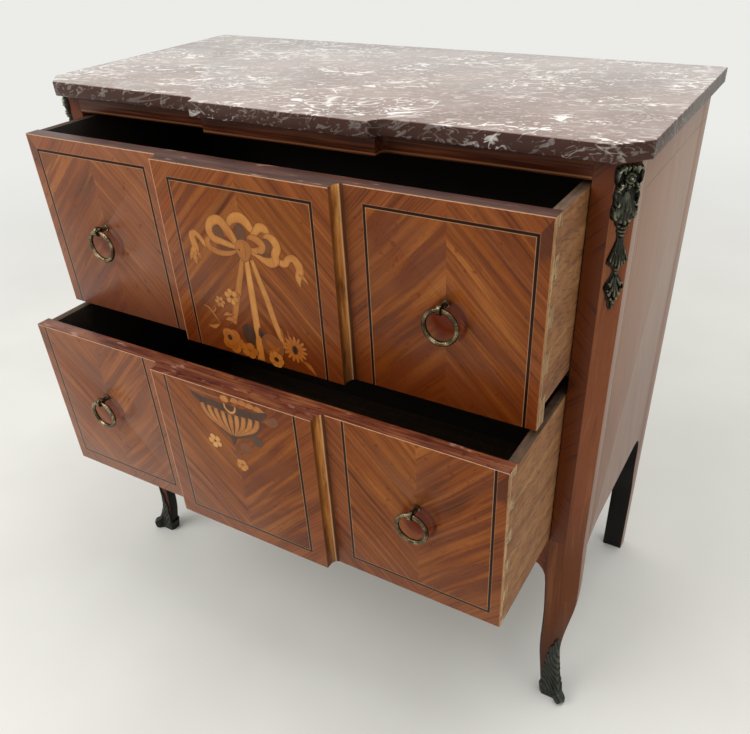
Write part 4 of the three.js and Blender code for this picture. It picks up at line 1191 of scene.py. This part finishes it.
def cast_chutes():
    """The corner mounts: their relief over a flat back, darker in the hollows, with painted shade at
    the rim and on the side walls.
    """
    low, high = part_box("chute_right")
    centre_x = low.x + CHUTE_HALF * HALF_ROOT
    centre_y = high.y - CHUTE_HALF * HALF_ROOT
    downs = np.linspace(0, CHUTE_OUTLINE[-1][0], CHUTE_ROWS)
    widths = np.interp(downs, *zip(*CHUTE_OUTLINE))
    shares = np.linspace(-1, 1, CHUTE_COLUMNS)
    across = widths[:, None] * shares[None, :]
    down = np.repeat(downs[:, None], len(shares), 1)
    relief = smoothed(chute_relief(across, down), 1)
    crests = 0.44 + (relief - smoothed(relief, 120)) * 0.16
    rim = np.clip((1 - np.abs(across) / np.maximum(widths[:, None], 0.1)) * 6, 0.12, 1)
    # Painted shade: darker towards the rim.
    crests = crests * rim
    relief = relief * np.sqrt(rim)
    for side, sign in SIDES:
        out = Vector((sign * HALF_ROOT, -HALF_ROOT, 0))
        along = Vector((sign * HALF_ROOT, HALF_ROOT, 0))
        anchor = Vector((sign * centre_x, centre_y, high.z))
        points, shade = [], []
        for layer in (1, 0):
            for i, j in np.ndindex(relief.shape):
                place = anchor + along * (across[i, j] * MM) - Vector((0, 0, down[i, j] * MM))
                points.append(place + out * (layer * relief[i, j] * MM))
                # The back layer's tone is zero, so the side walls carry painted shade.
                shade.append(crests[i, j] * layer)
        made = mesh_piece(f"corner_mount_{side}", points, plate_faces(0, *relief.shape), [casting],
                          relief=shade)
        seat(soften(turn_outwards(made), 60), "carcass", f"chute_{side}")


def cast_feet():
    """The cast feet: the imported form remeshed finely, with flutes that fan up from the toe."""
    for side, sign in SIDES:
        made = mesh_piece(f"foot_mount_{side}", *cad_solid(f"sabot_{side}"), [foot_casting])
        settle(made, TRIANGULATE={}, REMESH={"mode": "VOXEL", "voxel_size": FOOT_GRID},
               SMOOTH={"factor": 0.5, "iterations": 3})
        mesh = made.data
        co = np.array([v.co for v in mesh.vertices])
        normals = np.array([v.normal for v in mesh.vertices])
        low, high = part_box(f"sabot_{side}")
        ridge_x = (high.x if sign > 0 else low.x) - sign * TOE_INSET
        aside = (co[:, :2] - (ridge_x, low.y + TOE_INSET)) @ (sign * HALF_ROOT, HALF_ROOT)
        height = co[:, 2]
        outward = normals[:, :2] @ (sign * HALF_ROOT, -HALF_ROOT)
        facing = np.clip((outward + 0.2) * 2, 0, 1)
        reach = np.abs(aside) + 3 * MM * np.sin(height * 60)
        slant = (height - reach * 2.6 + 5 * MM * np.sin(reach * 260)) / FLUTE_PITCH
        ridge = 1 - 2 * np.abs(np.sin(slant * math.pi)) ** 0.8
        midrib = np.exp(-(aside / MIDRIB_HALF) ** 2)
        push = (ridge * -0.7 + midrib * 0.9 - 0.3) * MM * facing
        push *= np.clip((height - 0.004) / 0.02, 0.1, 1)
        co = np.clip(co + normals * push[:, None], np.array(low), np.array(high))
        mesh.vertices.foreach_set("co", co.astype(np.float32).ravel())
        relief = 0.1 + (0.45 * (0.5 - ridge * 0.5) + 0.25 * midrib) * facing
        mesh.attributes.new("relief", "FLOAT", "POINT").data.foreach_set("value", relief)
        seat(soften(made, 60), "carcass", f"sabot_{side}")


cast_chutes()
cast_feet()


# Pieces that repeat along a line are Geometry Nodes trees

class Pattern(Net):
    """A Geometry Nodes tree with named inputs; it becomes a plain mesh when it is cast."""

    def __init__(self, name):
        super().__init__(bpy.data.node_groups.new(name, "GeometryNodeTree"))
        self.tree.interface.new_socket(
            "Geometry", in_out="OUTPUT", socket_type="NodeSocketGeometry")
        self.source = self.tree.nodes.new("NodeGroupInput")
        self.sizes = {}

    def size(self, name, kind="Float"):
        made = self.tree.interface.new_socket(
            name, in_out="INPUT", socket_type=f"NodeSocket{kind}")
        self.sizes[name] = made.identifier
        return Value(self, next(s for s in self.source.outputs if s.identifier == made.identifier))

    def close(self, geometry, material):
        realized = self.node("GeometryNodeRealizeInstances", inputs={"Geometry": geometry})
        painted = self.node("GeometryNodeSetMaterial", inputs={
            "Geometry": realized, "Material": material})
        self.node("NodeGroupOutput", inputs={0: painted})
        return self

    def cast(self, name, **values):
        made = mesh_piece(name)
        modifier = made.modifiers.new("pattern", "NODES")
        modifier.node_group = self.tree
        for key, value in values.items():
            modifier[self.sizes[key]] = value
        return settle(made)


def ring_pattern():
    """A ring whose tube carries fine turned notches all the way round."""
    p = Pattern("notched_ring")
    radius, tube, notches = p.size("radius"), p.size("tube"), p.size("notches", "Int")
    circle, profile = (
        p.node("GeometryNodeCurvePrimitiveCircle", inputs={"Resolution": steps, "Radius": size})
        for steps, size in ((RING_STEPS, radius), (16, tube)))
    turn = p.node("GeometryNodeInputIndex") * (2 * math.pi / RING_STEPS)
    swell = (turn * notches).sine() * 0.035 + 0.965
    shaped = p.node("GeometryNodeSetCurveRadius", inputs={"Curve": circle, "Radius": swell})
    swept = p.node("GeometryNodeCurveToMesh", inputs={
        "Curve": shaped, "Profile Curve": profile, "Scale": swell})
    smooth = p.node("GeometryNodeSetShadeSmooth", inputs={"Geometry": swept})
    return p.close(smooth, handle_metal)


def pin_pattern():
    """Domed pin heads along a straight line."""
    p = Pattern("pin_row")
    start, end, flat = (p.size(name, "Vector") for name in ("start", "end", "flat"))
    count, radius = p.size("count", "Int"), p.size("radius")
    line = p.node("GeometryNodeMeshLine", {"mode": "END_POINTS"},
                  {"Count": count, "Start Location": start, "Offset": end})
    head = p.node("GeometryNodeMeshIcoSphere", inputs={"Radius": radius, "Subdivisions": 2})
    smooth = p.node("GeometryNodeSetShadeSmooth", inputs={"Geometry": head})
    placed = p.node("GeometryNodeInstanceOnPoints", inputs={
        "Points": line, "Instance": smooth, "Scale": flat})
    return p.close(placed, handle_metal)


def hang_rings():
    """The ring pulls on their eyes, with the nuts that hold the eyes inside the drawers."""
    pattern = ring_pattern()
    upright = Matrix.Rotation(math.pi / 2, 4, "X")
    for level in LEVELS:
        for side, _ in SIDES:
            which = f"{level}_{side}"
            low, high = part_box(f"ring_{which}")
            made = pattern.cast(
                f"ring_pull_{which}", radius=RING_RADIUS, tube=RING_TUBE, notches=RING_NOTCHES)
            made.data.transform(Matrix.Translation((low + high) / 2) @ upright)
            seat(made, f"ring_{which}", f"ring_{which}")
            dress(f"eye_{which}", f"post_{which}", f"drawer_{level}", [handle_metal],
                  arris=0.3, degrees=50)
            dress(f"nut_inside_{which}", f"nut_{which}", f"drawer_{level}", [handle_metal],
                  arris=0.5)


def drive_pins():
    """Nail heads where the back boards cross the rails."""
    pattern = pin_pattern()
    for board in (1, 2, 3):
        low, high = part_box(f"back_board_{board}")
        for row, height in (("top", high.z - NAIL_DROP), ("foot", low.z + NAIL_RISE)):
            made = pattern.cast(
                f"nails_{row}_{board}", start=(low.x + NAIL_INSET, high.y, height),
                end=(high.x - NAIL_INSET, high.y, height), count=4, radius=NAIL_RADIUS,
                flat=(1.0, 0.35, 1.0))
            seat(made, "carcass")


hang_rings()
drive_pins()
